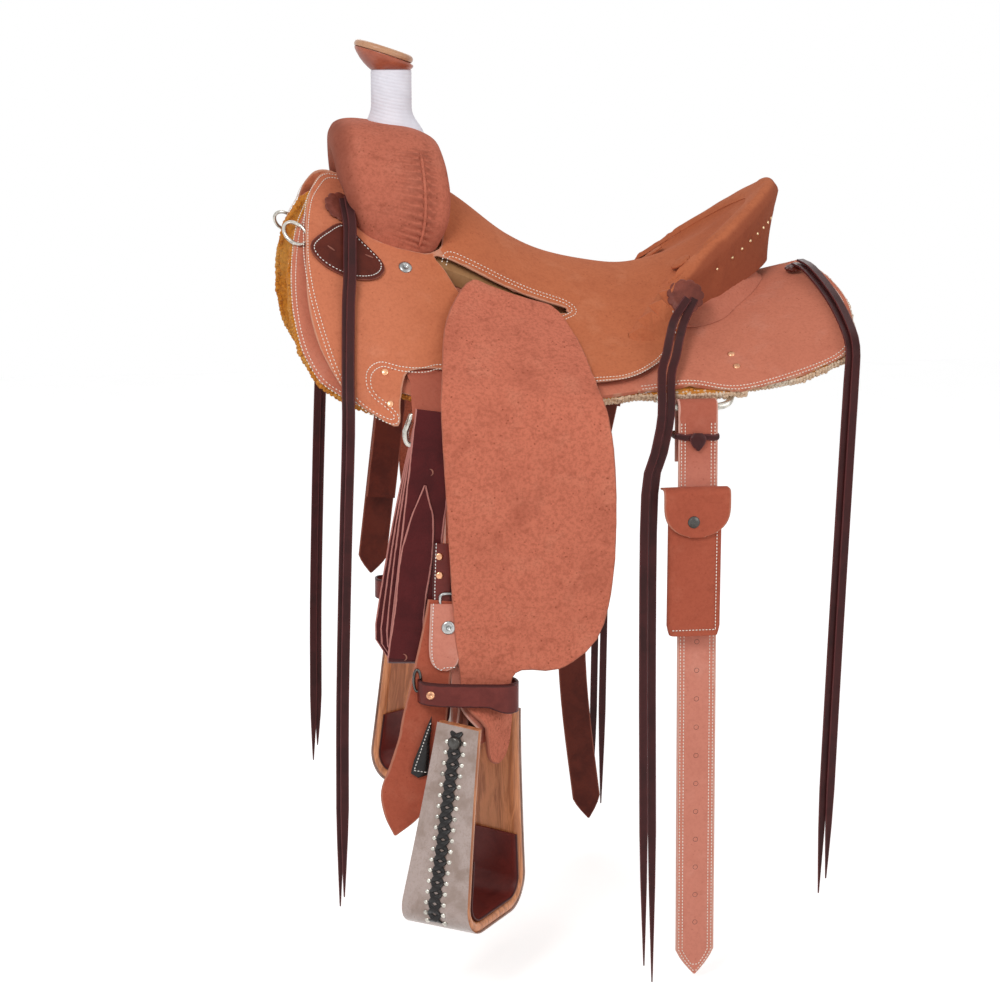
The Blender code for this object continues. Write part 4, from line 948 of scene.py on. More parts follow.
def group(name, inputs, outputs):
    """Empty node group with named sockets; gives its tree, its inputs and its output node."""
    tree = bpy.data.node_groups.new(name, "ShaderNodeTree")
    for label, kind in inputs:
        tree.interface.new_socket(label, in_out="INPUT", socket_type=SOCKETS[kind])
    for label, kind in outputs:
        tree.interface.new_socket(label, in_out="OUTPUT", socket_type=SOCKETS[kind])
    return tree, tree.nodes.new("NodeGroupInput").outputs, tree.nodes.new("NodeGroupOutput").inputs


def nap_group():
    """Flesh side of a hide: clouds, blotches, dark pores and a short brushed nap."""
    tree, given, out = group(
        "nap",
        (
            ("Place", "place"),
            ("Colour", "colour"),
            ("Dark", "colour"),
            ("Pale", "colour"),
            ("Blotches", "value"),
            ("Pores", "value"),
        ),
        (("Colour", "colour"), ("Height", "value")),
    )
    place, dark = given["Place"], given["Dark"]
    clouds = noisy(tree, place, 14.0, 6.0, 0.66, 0.3)
    shade = times(tree, ranged(tree, clouds, 0.46, 0.78, 0.0, 0.6), given["Blotches"])
    colour = blended(tree, shade, given["Colour"], dark)
    brushed = noisy(tree, stretched(tree, place, (1.0, 1.0, 1.3)), 60.0, 6.0, 0.78, 0.2)
    streaks = ranged(tree, brushed, 0.50, 0.74, 0.0, 0.75)
    colour = blended(tree, times(tree, streaks, given["Blotches"]), colour, dark)
    light = ranged(tree, noisy(tree, place, 24.0, 4.0, 0.6), 0.52, 0.74, 0.0, 0.5)
    colour = blended(tree, light, colour, given["Pale"])
    mottle = ranged(tree, noisy(tree, place, 260.0, 3.0, 0.7), 0.42, 0.66, 0.0, 0.42)
    colour = blended(tree, times(tree, mottle, given["Pores"]), colour, dark)
    specks = ranged(tree, cells(tree, place, 160.0), 0.10, 0.24, 1.0, 0.0)
    sparse = ranged(tree, noisy(tree, place, 40.0, 3.0), 0.48, 0.60)
    specks = times(tree, times(tree, specks, sparse), given["Pores"])
    colour = blended(tree, specks, colour, dark)
    feed(tree, colour, out["Colour"])
    fine = noisy(tree, place, 900.0, 4.0, 0.7)
    coarse = noisy(tree, place, 210.0, 4.0, 0.65)
    feed(tree, sum_of(tree, times(tree, fine, 0.55), coarse), out["Height"])
    return tree


def grain_group():
    """Grain side of a hide: fine pebbles, soft wrinkles and a gentle change of shade."""
    tree, given, out = group(
        "grain",
        (("Place", "place"), ("Colour", "colour"), ("Second", "colour"), ("Pull", "value")),
        (("Colour", "colour"), ("Height", "value"), ("Gloss", "value")),
    )
    place = given["Place"]
    broad = noisy(tree, place, 26.0, 4.0, 0.6, 0.5)
    change = ranged(tree, broad, 0.38, 0.68, 0.0, 0.8)
    colour = blended(tree, change, given["Colour"], given["Second"])
    close = noisy(tree, place, 330.0, 3.0, 0.6)
    colour = blended(tree, ranged(tree, close, 0.45, 0.75, 0.0, 0.35), colour, given["Second"])
    feed(tree, colour, out["Colour"])
    pebbles = cells(tree, place, 850.0, "SMOOTH_F1")
    wrinkles = noisy(tree, stretched(tree, place, (3.0, 3.0, 1.0)), 90.0, 3.0, 0.6, 1.0)
    wrinkles = times(tree, wrinkles, given["Pull"])
    feed(tree, sum_of(tree, pebbles, wrinkles), out["Height"])
    feed(tree, ranged(tree, broad, 0.3, 0.7, -0.06, 0.08), out["Gloss"])
    return tree


def worn_edge_group():
    """Cut or rubbed edge: a pale or dark line where the rim attribute nears nought."""
    tree, given, out = group(
        "worn_edge",
        (("Colour", "colour"), ("Edge", "colour"), ("Place", "place"), ("Reach", "value")),
        (("Colour", "colour"),),
    )
    rim = make(tree, "Attribute", attribute_name="rim").outputs["Fac"]
    wobble = ranged(tree, noisy(tree, given["Place"], 60.0, 3.0), 0.3, 0.7, 0.6, 1.4)
    reach = times(tree, given["Reach"], wobble)
    mask = ranged(tree, sum_of(tree, rim, reach, "DIVIDE"), 0.45, 1.0, 1.0, 0.0)
    feed(tree, blended(tree, mask, given["Colour"], given["Edge"]), out["Colour"])
    return tree


def curl_group():
    """Wool pile: locks, curled tips lighter than their roots."""
    tree, given, out = group(
        "curl",
        (("Place", "place"), ("Tip", "colour"), ("Root", "colour"), ("Pale", "colour")),
        (("Colour", "colour"), ("Height", "value")),
    )
    place = given["Place"]
    locks = cells(tree, place, 210.0, "SMOOTH_F1")
    curls = noisy(tree, place, 420.0, 4.0, 0.7, 1.6)
    depth = sum_of(tree, ranged(tree, locks, 0.0, 0.75), ranged(tree, curls, 0.35, 0.75), "ADD")
    colour = blended(tree, ranged(tree, depth, 0.55, 1.5), given["Tip"], given["Root"])
    faded = ranged(tree, noisy(tree, place, 19.0, 4.0, 0.6), 0.46, 0.66)
    colour = blended(tree, faded, colour, given["Pale"])
    feed(tree, colour, out["Colour"])
    feed(tree, sum_of(tree, 1.0, depth, "SUBTRACT"), out["Height"])
    return tree


def plank_group():
    """Wood: growth rings stretched along the grain and fine pores."""
    tree, given, out = group(
        "plank",
        (("Place", "place"), ("Early", "colour"), ("Late", "colour")),
        (("Colour", "colour"), ("Height", "value")),
    )
    place = stretched(tree, given["Place"], (9.0, 9.0, 1.0))
    rings = noisy(tree, place, 9.0, 4.0, 0.55, 1.4)
    colour = blended(tree, ranged(tree, rings, 0.38, 0.62), given["Early"], given["Late"])
    pores = noisy(tree, stretched(tree, given["Place"], (14.0, 14.0, 1.0)), 60.0, 3.0, 0.7)
    colour = blended(tree, ranged(tree, pores, 0.5, 0.7, 0.0, 0.5), colour, given["Late"])
    feed(tree, colour, out["Colour"])
    feed(tree, pores, out["Height"])
    return tree


def rubbed_group():
    """Metal in use: smears, fine scratches and dull hollows."""
    tree, given, out = group(
        "rubbed",
        (("Place", "place"), ("Bright", "colour"), ("Dull", "colour")),
        (("Colour", "colour"), ("Roughness", "value"), ("Height", "value")),
    )
    place = given["Place"]
    smear = noisy(tree, place, 70.0, 4.0, 0.6, 0.8)
    scratches = noisy(tree, stretched(tree, place, (1.0, 8.0, 1.0)), 520.0, 2.0, 0.5)
    colour = blended(tree, ranged(tree, smear, 0.4, 0.7), given["Bright"], given["Dull"])
    feed(tree, colour, out["Colour"])
    dull = ranged(tree, sum_of(tree, smear, scratches), 0.8, 1.25, 0.16, 0.46)
    feed(tree, dull, out["Roughness"])
    feed(tree, scratches, out["Height"])
    return tree


def placed(tree, name, **values):
    """A node group set in a material; gives its outputs."""
    made = make(tree, "Group", node_tree=EFFECTS[name])
    for label, value in values.items():
        feed(tree, value, made.inputs[label])
    return made.outputs


def started(name, slot):
    """Empty material: its tree, its shader's sockets and its object coordinates."""
    look = bpy.data.materials.new(name)
    look.use_nodes = True
    look["slot"] = slot
    tree = look.node_tree
    shader = tree.nodes["Principled BSDF"]
    return look, tree, shader.inputs, make(tree, "TexCoord").outputs["Object"]


def settle(shader, **values):
    """Plain values of a shader's sockets, their names written with underscores."""
    for name, value in values.items():
        shader[name.replace("_", " ")].default_value = value


def raised(tree, height, strength, distance):
    bump = make(tree, "Bump")
    feed(tree, height, bump.inputs["Height"])
    bump.inputs["Strength"].default_value = strength
    bump.inputs["Distance"].default_value = distance
    return bump.outputs["Normal"]


def roughout(
    name, slot, colour, dark, pale, blotches=0.55, pores=0.5, edge=None, reach=0.16, shade=None,
    zones=(),
):
    """Napped leather, flesh side out; shade is the colour of its painted shade, where the shade attribute
    marks faces and hollows that get less light.

    Each zone is an axis, where along it the change starts and ends, and the tint there.
    """
    look, tree, shader, place = started(name, slot)
    nap = placed(
        tree, "nap", Place=place, Colour=colour, Dark=dark, Pale=pale, Blotches=blotches,
        Pores=pores,
    )
    surface = nap["Colour"]
    # painted shade: the shade attribute blends the surface towards the shade colour where light falls less
    if shade:
        painted_shade = make(tree, "Attribute", attribute_name="shade").outputs["Fac"]
        surface = blended(tree, painted_shade, surface, blended(tree, 0.75, surface, shade))
    for axis, start, end, tint in zones:
        split = make(tree, "SeparateXYZ")
        feed(tree, place, split.inputs[0])
        amount = ranged(tree, split.outputs[axis], start, end)
        surface = blended(tree, amount, surface, tint, mode="MULTIPLY")
    if edge:
        worn = placed(tree, "worn_edge", Colour=surface, Edge=edge, Place=place, Reach=reach)
        surface = worn["Colour"]
    feed(tree, surface, shader["Base Color"])
    settle(shader, Roughness=0.95, Specular_IOR_Level=0.12, Sheen_Weight=0.05)
    settle(shader, Sheen_Roughness=0.6, Sheen_Tint=(1.0, 0.72, 0.58, 1.0))
    feed(tree, raised(tree, nap["Height"], 0.35, 0.0007), shader["Normal"])
    return look


def smooth_hide(
    name, slot, colour, second, edge=None, reach=0.14, roughness=0.42, pull=0.35, shine=0.22,
    coat=0.0,
):
    """Oiled leather, grain side out."""
    look, tree, shader, place = started(name, slot)
    hide = placed(tree, "grain", Place=place, Colour=colour, Second=second, Pull=pull)
    surface = hide["Colour"]
    if edge:
        worn = placed(tree, "worn_edge", Colour=surface, Edge=edge, Place=place, Reach=reach)
        surface = worn["Colour"]
    feed(tree, surface, shader["Base Color"])
    feed(tree, sum_of(tree, hide["Gloss"], roughness), shader["Roughness"])
    settle(shader, Specular_IOR_Level=shine, Coat_Weight=coat, Coat_Roughness=0.25)
    feed(tree, raised(tree, hide["Height"], 0.22, 0.0005), shader["Normal"])
    return look


def wool(name, slot, tip, root, pale):
    look, tree, shader, place = started(name, slot)
    pile = placed(tree, "curl", Place=place, Tip=tip, Root=root, Pale=pale)
    feed(tree, pile["Colour"], shader["Base Color"])
    settle(shader, Roughness=1.0, Specular_IOR_Level=0.1, Sheen_Weight=0.15, Sheen_Roughness=0.5)
    feed(tree, raised(tree, pile["Height"], 0.6, 0.002), shader["Normal"])
    return look


def plank(name, slot, early, late, roughness=0.42, coat=0.12):
    look, tree, shader, place = started(name, slot)
    grain = placed(tree, "plank", Place=place, Early=early, Late=late)
    feed(tree, grain["Colour"], shader["Base Color"])
    settle(shader, Roughness=roughness, Coat_Weight=coat, Coat_Roughness=0.2)
    settle(shader, Specular_IOR_Level=0.3)
    feed(tree, raised(tree, grain["Height"], 0.2, 0.0004), shader["Normal"])
    return look


def metal(name, slot, bright, dull):
    look, tree, shader, place = started(name, slot)
    wear = placed(tree, "rubbed", Place=place, Bright=bright, Dull=dull)
    feed(tree, wear["Colour"], shader["Base Color"])
    feed(tree, wear["Roughness"], shader["Roughness"])
    settle(shader, Metallic=1.0)
    feed(tree, raised(tree, wear["Height"], 0.08, 0.0002), shader["Normal"])
    return look


EFFECTS = {
    "nap": nap_group(),
    "grain": grain_group(),
    "worn_edge": worn_edge_group(),
    "curl": curl_group(),
    "plank": plank_group(),
    "rubbed": rubbed_group(),
}

# Leather colours: the cut edge of a hide is paler than its face where it is natural.
NATURAL_EDGE = (0.62, 0.29, 0.19)
# The seat's first zone makes its front paler and pinker; the second darkens its dish before the cantle,
# painted shade.
SEAT_HIDE = roughout(
    "seat_hide", "roughout_leather", (0.54, 0.160, 0.070), (0.33, 0.075, 0.034),
    (0.60, 0.21, 0.105), blotches=0.5, edge=NATURAL_EDGE,
    zones=(("X", -0.15, -0.27, (1.16, 1.25, 1.46)), ("X", 0.10, 0.22, (0.84, 0.73, 0.66))),
)
SKIRT_HIDE = roughout(
    "skirt_hide", "roughout_leather", (0.60, 0.195, 0.120), (0.36, 0.095, 0.058),
    (0.62, 0.24, 0.165), blotches=0.4, edge=NATURAL_EDGE,
)
BAR_HIDE = roughout(
    "bar_hide", "roughout_leather", (0.56, 0.185, 0.118), (0.36, 0.095, 0.058),
    (0.62, 0.24, 0.165), blotches=0.4,
)
FENDER_HIDE = roughout(
    "fender_hide", "roughout_leather", (0.60, 0.175, 0.106), (0.30, 0.070, 0.040),
    (0.66, 0.225, 0.14), blotches=0.8, pores=1.0, edge=(0.42, 0.14, 0.09),
)
# The fork's shade colour is painted shade on its front face, lower rear and gathers.
FORK_HIDE = roughout(
    "fork_hide", "fork_leather", (0.53, 0.155, 0.096), (0.26, 0.066, 0.038),
    (0.60, 0.20, 0.13), blotches=0.9, pores=0.8, shade=(0.22, 0.058, 0.036),
)
# The cantle's shade colour is painted shade down its back and in the dimples round its tacks.
CANTLE_HIDE = roughout(
    "cantle_hide", "roughout_leather", (0.50, 0.148, 0.066), (0.30, 0.069, 0.032),
    (0.56, 0.19, 0.10), blotches=0.5, shade=(0.20, 0.040, 0.022),
)
# The strap's zone darkens it towards its top, painted shade over the billet's upper part.
STRAP_HIDE = roughout(
    "strap_hide", "roughout_leather", (0.64, 0.238, 0.170), (0.46, 0.138, 0.092),
    (0.70, 0.31, 0.235), blotches=0.4, edge=(0.66, 0.36, 0.29),
    zones=(("Z", -0.20, -0.11, (0.70, 0.52, 0.46)),),
)
POUCH_HIDE = roughout(
    "pouch_hide", "roughout_leather", (0.43, 0.100, 0.056), (0.26, 0.054, 0.030),
    (0.50, 0.145, 0.086), blotches=0.6, edge=(0.46, 0.17, 0.11),
)
BURGUNDY = smooth_hide(
    "burgundy_hide", "oxblood_leather", (0.088, 0.009, 0.010), (0.056, 0.006, 0.007),
    edge=(0.50, 0.20, 0.17), reach=0.12, roughness=0.42, shine=0.16,
)
BURGUNDY_STRAP = smooth_hide(
    "burgundy_strap", "oxblood_leather", (0.165, 0.026, 0.020), (0.100, 0.015, 0.012),
    edge=(0.06, 0.010, 0.009), roughness=0.38, shine=0.25,
)
BROWN_HIDE = smooth_hide(
    "brown_hide", "brown_leather", (0.115, 0.020, 0.011), (0.064, 0.011, 0.007),
    edge=(0.24, 0.070, 0.045), reach=0.10, shine=0.16,
)
TOOLED_HIDE = smooth_hide(
    "tooled_hide", "brown_leather", (0.22, 0.055, 0.036), (0.10, 0.022, 0.015), roughness=0.45,
    shine=0.2,
)
THONG = smooth_hide(
    "thong_hide", "string_leather", (0.050, 0.009, 0.009), (0.026, 0.006, 0.006),
    edge=(0.10, 0.024, 0.024), reach=0.08, roughness=0.40, shine=0.2,
)
WOOL = wool("gold_wool", "fleece", (0.80, 0.30, 0.030), (0.58, 0.18, 0.014), (0.78, 0.36, 0.07))
CREAM_WOOL = wool(
    "cream_wool", "fleece", (0.90, 0.66, 0.46), (0.74, 0.48, 0.30), (0.92, 0.78, 0.62)
)
VARNISHED = plank("varnished_wood", "wood", (0.72, 0.285, 0.120), (0.44, 0.150, 0.058), coat=0.3)
RAWHIDE = smooth_hide(
    "rawhide_rim", "rawhide", (0.56, 0.30, 0.17), (0.44, 0.20, 0.10), roughness=0.28, pull=0.8,
    shine=0.4,
)
TREE_RAWHIDE = smooth_hide(
    "tree_rawhide", "rawhide", (0.44, 0.24, 0.11), (0.32, 0.15, 0.06), roughness=0.45, pull=0.8,
)
COPPER_HIDE = smooth_hide(
    "copper_hide", "cap_leather", (0.46, 0.115, 0.055), (0.28, 0.06, 0.03), roughness=0.34,
    shine=0.5,
)
NICKEL = metal("worn_nickel", "nickel", (0.62, 0.59, 0.53), (0.30, 0.28, 0.25))
STEEL = metal("plain_steel", "steel", (0.50, 0.50, 0.49), (0.26, 0.26, 0.26))
DARK_METAL = metal("blackened_metal", "steel", (0.10, 0.095, 0.09), (0.05, 0.045, 0.04))
COPPER = metal("copper_rivets", "nickel", (0.80, 0.42, 0.24), (0.48, 0.24, 0.14))
BRASS = metal("brass_tacks", "nickel", (0.80, 0.60, 0.36), (0.50, 0.34, 0.18))
THREAD = smooth_hide(
    "cream_thread", "roughout_leather", (0.92, 0.84, 0.75), (0.78, 0.68, 0.58), roughness=0.7,
)
WHITE_THREAD = smooth_hide(
    "white_thread", "brown_leather", (0.88, 0.85, 0.81), (0.74, 0.70, 0.65), roughness=0.7,
)
WRAP = smooth_hide(
    "white_cloth_wrap", "white_wrap", (0.84, 0.83, 0.90), (0.76, 0.75, 0.82), roughness=0.8,
    pull=0.9, shine=0.1,
)
SLIT_LOOK = smooth_hide(
    "slit_edge", "brown_leather", (0.36, 0.14, 0.10), (0.20, 0.07, 0.05), roughness=0.6,
)
BINDING = smooth_hide(
    "stirrup_binding", "wood", (0.44, 0.335, 0.30), (0.24, 0.155, 0.115), roughness=0.28, pull=0.9,
    shine=0.7, coat=0.4,
)
BLACK_LACE = smooth_hide(
    "black_lace", "string_leather", (0.010, 0.007, 0.007), (0.006, 0.005, 0.005),
    roughness=0.3, shine=0.35,
)
# Painted shade: near-black discs stand in for the shadowed insides of the punched billet holes.
HOLE_SHADE_LOOK = smooth_hide("hole_dark", "brown_leather", (0.020, 0.010, 0.008), (0.012, 0.006, 0.005))

# Small things that are gathered into one piece for each body and side
PALE_SLITS = Gathered("concho_slits", SLIT_LOOK)
STITCHES = Gathered("stitching", THREAD)
PALE_STITCHES = Gathered("white_stitching", WHITE_THREAD)
RIVETS = Gathered("copper_rivets", COPPER)
TACKS = Gathered("brass_tacks", BRASS)
SCREWS = Gathered("steel_screws", STEEL)
LACES = Gathered("stirrup_lacing", BLACK_LACE)
NAILS = Gathered("stirrup_nails", NICKEL)
HOLES = Gathered("billet_holes", HOLE_SHADE_LOOK)

# Their turned profiles: radius, height over the leather
RIVET = ((0, 1.7), (2.2, 1.6), (4.0, 1.1), (4.9, 0.2), (4.9, -0.6), (0, -0.6))
BURR = (
    (0, 0.9), (1.8, 0.9), (2.0, 1.7), (3.0, 1.8), (5.2, 1.0), (5.6, 0.0), (5.6, -0.6), (0, -0.6),
)
FERRULE = (
    (0, 0.2), (2.6, 0.2), (2.9, 1.4), (3.6, 2.2), (6.2, 2.2), (8.2, 1.5), (8.9, 0.4), (8.9, -0.6),
    (0, -0.6),
)
NAIL = ((0, 2.0), (1.8, 1.7), (3.1, 0.9), (3.5, -0.3))
HOLE = ((0, -0.4), (2.6, -0.2), (3.1, 0.15), (3.3, 0.05), (3.4, -0.6), (0, -0.6))
TACK = ((0, 2.2), (1.2, 2.0), (2.1, 1.4), (2.6, 0.6), (2.6, -0.4), (0, -0.4))
SNAP = (
    (0, 2.6), (3.2, 2.4), (5.4, 1.7), (6.6, 0.9), (7.4, 0.8), (7.8, 0.2), (7.8, -0.8), (0, -0.8),
)


def on(surface, x, s):
    """Point and outward normal on a surface function."""
    return surface(x, s), normal_of(surface, x, s)


def s_on(surface, x, y):
    """Distance s at which a surface function reaches y."""
    s = s_at(x, y)
    for _ in range(6):
        step = (abs(y) - abs(surface(x, s).y)) * 1.1
        s += step if s > 0 else -step
    return s


# Fork


def fork_point(u, turn, offset):
    """Point of the fork at u, -1 near foot to 1 far foot, and at a turn round its section."""
    swing = abs(u)
    sign = -1 if u < 0 else 1
    outer = smooth_at(FORK_OUTER, swing)
    inner = smooth_at(FORK_INNER, swing)
    front = smooth_at(FORK_FRONT, swing).x
    rear = smooth_at(FORK_REAR, swing).x
    middle = (outer + inner) / 2
    reach = (outer - inner) / 2
    half = (rear - front) / 2 + offset
    thick = reach.length + offset
    out = reach.normalized()
    top_slope = -0.16 * max(0.0, 1 - swing * 1.6)
    angle = 2 * math.pi * turn
    c, s = math.cos(angle), math.sin(angle)
    a = squarer(c, 0.62) * half
    b = squarer(s, 0.7) * thick
    x = (front + rear) / 2 + a
    y = sign * (middle.x + out.x * b)
    z = middle.y + out.y * b + top_slope * a
    z += ease((swing - 0.4) / 0.6) * (height_at(bar_top, x, y) - FORK_FOOT_Z)
    return Vector((x, y, z))


COVER_OUT = 2 * FIT_GAP + FORK_LEATHER
COVER_START = -0.19
COVER_END = 0.69
WELT_TURN = 0.198
WELT_START = -0.42
WELT_END = -0.94
WELT_ROWS = 96


def pucker(u, turn):
    """Height of the gathers beside the near welt and its far twin."""
    along = (abs(u) + WELT_START) / (-WELT_END + WELT_START)
    if not -0.08 < along < 1.05:
        return 0.0
    aside = (turn - WELT_TURN) / 0.042
    fade = math.exp(-aside * aside) * ease((along + 0.08) / 0.15) * ease((1.05 - along) / 0.15)
    wave = math.sin(along * 2 * math.pi * 13 + 1.6 * aside)
    return fade * (1.5 * wave - 1.6 * math.exp(-((abs(aside) - 0.35) / 0.16) ** 2))


def fork_cover():
    def wall(offset):
        def place(a, b):
            return fork_point(2 * b - 1, COVER_START + (COVER_END - COVER_START) * a, offset)

        return place

    bm = shell(110, 250, wall(2 * FIT_GAP), wall(COVER_OUT))
    bmesh.ops.recalc_face_normals(bm, faces=bm.faces[:])
    bm.normal_update()
    shade = bm.verts.layers.float.new("shade")
    share = bm.verts.layers.float_vector["share"]
    for v in bm.verts:
        a, b, outside = v[share]
        turn = COVER_START + (COVER_END - COVER_START) * a
        if outside:
            drawn = pucker(2 * b - 1, turn)
            facing = math.cos(2 * math.pi * turn)
            low = ease((abs(2 * b - 1) - 0.70) / 0.25)
            # painted shade: the front face, the lower rear of the feet and the gathers beside the welts are
            # marked darker where light falls less
            v[shade] = max(
                0.85 * ease((-facing - 0.45) / 0.4),
                0.55 * low * ease((facing - 0.1) / 0.5),
                min(0.75, 0.32 * abs(drawn) + (0.25 if abs(drawn) > 0.3 else 0.0)),
            )
            v.co += v.normal * (noise.noise(v.co / 34.0) * 0.8 + drawn)
    return finished(bm, "fork_cover_leather", FORK_HIDE, "saddle", ["fork_cover"])


def fork_welts():
    """Raised seam down each swell of the fork, swelling and thinning along its stitches."""
    spots, radius = [], []
    for k in range(WELT_ROWS + 1):
        u = WELT_START + (WELT_END - WELT_START) * k / WELT_ROWS
        spots.append(fork_point(u, WELT_TURN, COVER_OUT + 0.1))
        full = 1.5 + 0.5 * abs(math.sin(math.pi * k / 7.4))
        radius.append(full * ease(k / 9) * ease((WELT_ROWS - k) / 9) + 0.3)
    both(lambda: tube(spots, radius, 10), "fork_welt_", FORK_HIDE, "saddle")


# Seat and skirts


def fork_hole(side):
    """Where the covered fork comes through the seat leather."""
    top = seat_layer(SEAT_TOP)
    ring = []
    for k in range(28):
        for step in range(24):
            found = fork_point(-1 + step * 0.012, k / 28, COVER_OUT + 0.8)
            if found.z > height_at(top, found.x, found.y):
                break
        ring.append(Vector((found.x, side * s_on(top, found.x, found.y))))
    return ring


def seat_outline():
    rim = []
    for k in range(13):
        y = 138.0 * (1 - k / 12)
        x = rim_x(y) - 9.0 * (1 - 0.62 * ease((y - 112) / 46))
        rim.append((x, s_at(x, -y)))
    near = [Vector((*p, 0)) for p in SEAT_HALF_OUTLINE]
    half = [(p.x, p.y) for p in smooth_line(near, 4)] + rim
    return half + [(x, -s) for x, s in reversed(half) if s > 0.01]


def mirrored_line(points):
    return [(x, -s) for x, s in points]


def seat_leather():
    slot = rounded(SLOT_OUTLINE, 4)
    holes = [slot, flat(mirrored_line(slot)), fork_hole(1), fork_hole(-1)]
    leather(
        "seat_and_jockeys", seat_outline(), seat_layer(SEAT_BOTTOM), seat_layer(SEAT_TOP),
        SEAT_HIDE, "saddle", ["seat_leather"], holes=holes, step=7.5, wave=0.5,
    )


# Double rows of stitching that follow the seat's lower edge, x and s.
SEAT_STITCHES = (
    (-300, 50), (-321, 64), (-333, 88), (-343, 116), (-349, 155), (-351, 185), (-351, 216),
    (-345, 263), (-330, 318), (-313, 358), (-289, 377), (-259, 382), (-251, 376), (-262, 368),
    (-276, 362), (-284, 350), (-282, 330), (-266, 312), (-240, 307), (-215, 298), (-186, 282),
    (-120, 276), (-60, 271), (4, 261), (40, 255), (66, 243), (92, 222), (107, 196), (116, 162),
)
SLOT_STITCHES = (
    (-172, 126), (-166, 114), (-142, 112), (-100, 112), (-60, 115), (-24, 119), (-10, 126),
    (-10, 134), (-22, 143),
)
SKIRT_STITCHES = (
    (-342, 112), (-358, 165), (-366, 228), (-366, 283), (-357, 331), (-337, 363), (-305, 373),
)
REAR_STITCHES = (
    (63, 264), (124, 261), (184, 283), (262, 276), (322, 258), (344, 221), (351, 159), (345, 92),
    (336, 42), (326, 8),
)


def double_row(body, points, surface, side, gap=STITCH_ROWS):
    """Two rows of stitches, the second a gap inside the first."""
    line = flat(smooth_line([Vector((*p, 0)) for p in points], 6))
    sew(STITCHES, body, line, surface, side)
    sew(STITCHES, body, inset(line, -gap, closed=False), surface, side)


def edge_stitching():
    seat_top = seat_layer(SEAT_TOP)
    for side in (1, -1):
        for points in (SEAT_STITCHES, SLOT_STITCHES):
            double_row("saddle", points, seat_top, side)
        for points in (SKIRT_STITCHES, REAR_STITCHES):
            double_row("saddle", points, layer(0.0), side)


def skirts():
    leathers(
        "skirt_leather_", flat(SKIRT_OUTLINE), layer(-SKIRT_THICK), layer(0.0), SKIRT_HIDE,
        "saddle", "skirt_", step=9.0, wave=0.4,
    )


def lining_outline():
    """Outline of the skirt with a notch in its lower edge for the rear dee."""
    notch = DEE_WIDTH / 2 + 12
    outline = []
    for x, s in SKIRT_OUTLINE:
        if abs(x - DEE_X) < notch + 4 and s > DEE_TOP_S:
            continue
        outline.append((x, s))
        if (x, s) == (-80, 300):
            outline += [
                (DEE_X - notch, 270),
                (DEE_X - notch, DEE_TOP_S - 12),
                (DEE_X + notch, DEE_TOP_S - 12),
                (DEE_X + notch, 288),
            ]
    return outline


def fleece_low(x, s):
    """Underside of the pile, in lumps."""
    depth = FLEECE_THICK + 1.6 * noise.noise(Vector((x, s, 3.0)) / 11.0)
    depth += 1.0 * noise.noise(Vector((x, s, 9.0)) / 4.5)
    return layer(-SKIRT_THICK - LAYER_GAP - depth)(x, s)


def fleece():
    leathers(
        "fleece_pile_", flat(lining_outline()), fleece_low, layer(-SKIRT_THICK - LAYER_GAP + 0.4),
        WOOL, "saddle", "fleece_", step=5.0,
    )


LOCKS_TURN_X = -120
LOCKS_TOP_S = 45
LOCKS_SEED = 7


def locks():
    """Small tufts that stand out of the pile's edge, gold in front and cream behind."""
    noise.seed_set(LOCKS_SEED)
    tufts = Gathered("fleece_locks", CREAM_WOOL)
    gold = Gathered("gold_locks", WOOL)
    outline = flat(lining_outline())
    for side in (1, -1):
        for spot, _ in evenly(outline, 4.6, closed=True):
            x, s = spot
            if s < LOCKS_TOP_S:
                continue
            for row in range(3):
                shift = noise.noise_vector(Vector((x * 0.31, s * 0.31, row * 5.0 + side)))
                front = x < LOCKS_TURN_X
                place = layer(-SKIRT_THICK - LAYER_GAP - 2.0 - 3.0 * row)(x, s)
                place += shift * (2.2 if front else 1.4)
                size = (3.6 if front else 2.9) + 0.8 * shift.x
                bm = (gold if front else tufts).bmesh_for("saddle", side)
                matrix = Matrix.Translation(place)
                tilt = Matrix.Rotation(shift.z * 6.0, 4, "X")
                matrix @= Matrix.Rotation(shift.y * 6.0, 4, "Z") @ tilt
                matrix @= Matrix.Diagonal((1.0, 1.2, 0.85, 1.0))
                bmesh.ops.create_icosphere(bm, subdivisions=2, radius=size, matrix=matrix)
    tufts.done()
    gold.done()


# Fenders and stirrup leathers


def stand_off(x, s):
    """How the rigging behind it pushes the fender's front edge outwards."""
    along = 0.25 + 0.75 * ease((FENDER_SWING_X - x) / 85.0)
    down = ease((s - 235.0) / 100.0) * ease((FENDER_FOOT_S - s) / 230.0)
    return Vector((0, -FENDER_STANDOFF * along * down, 0))


def hanging_frame(z, side):
    """Centre, across and outward directions of the twisted leathers at a height."""
    share = ease((TWIST_TOP_Z - z) / (TWIST_TOP_Z - TWIST_BOTTOM_Z))
    turn = STIRRUP_TURN * share
    across = Vector((math.cos(turn), side * math.sin(turn), 0))
    out = Vector((math.sin(turn), -side * math.cos(turn), 0))
    y = BOLT_Y - max(0.0, z - PLY_STRAIGHT_Z) * PLY_LEAN
    return Vector((BOLT_X, -y * side, z)), across, out, share


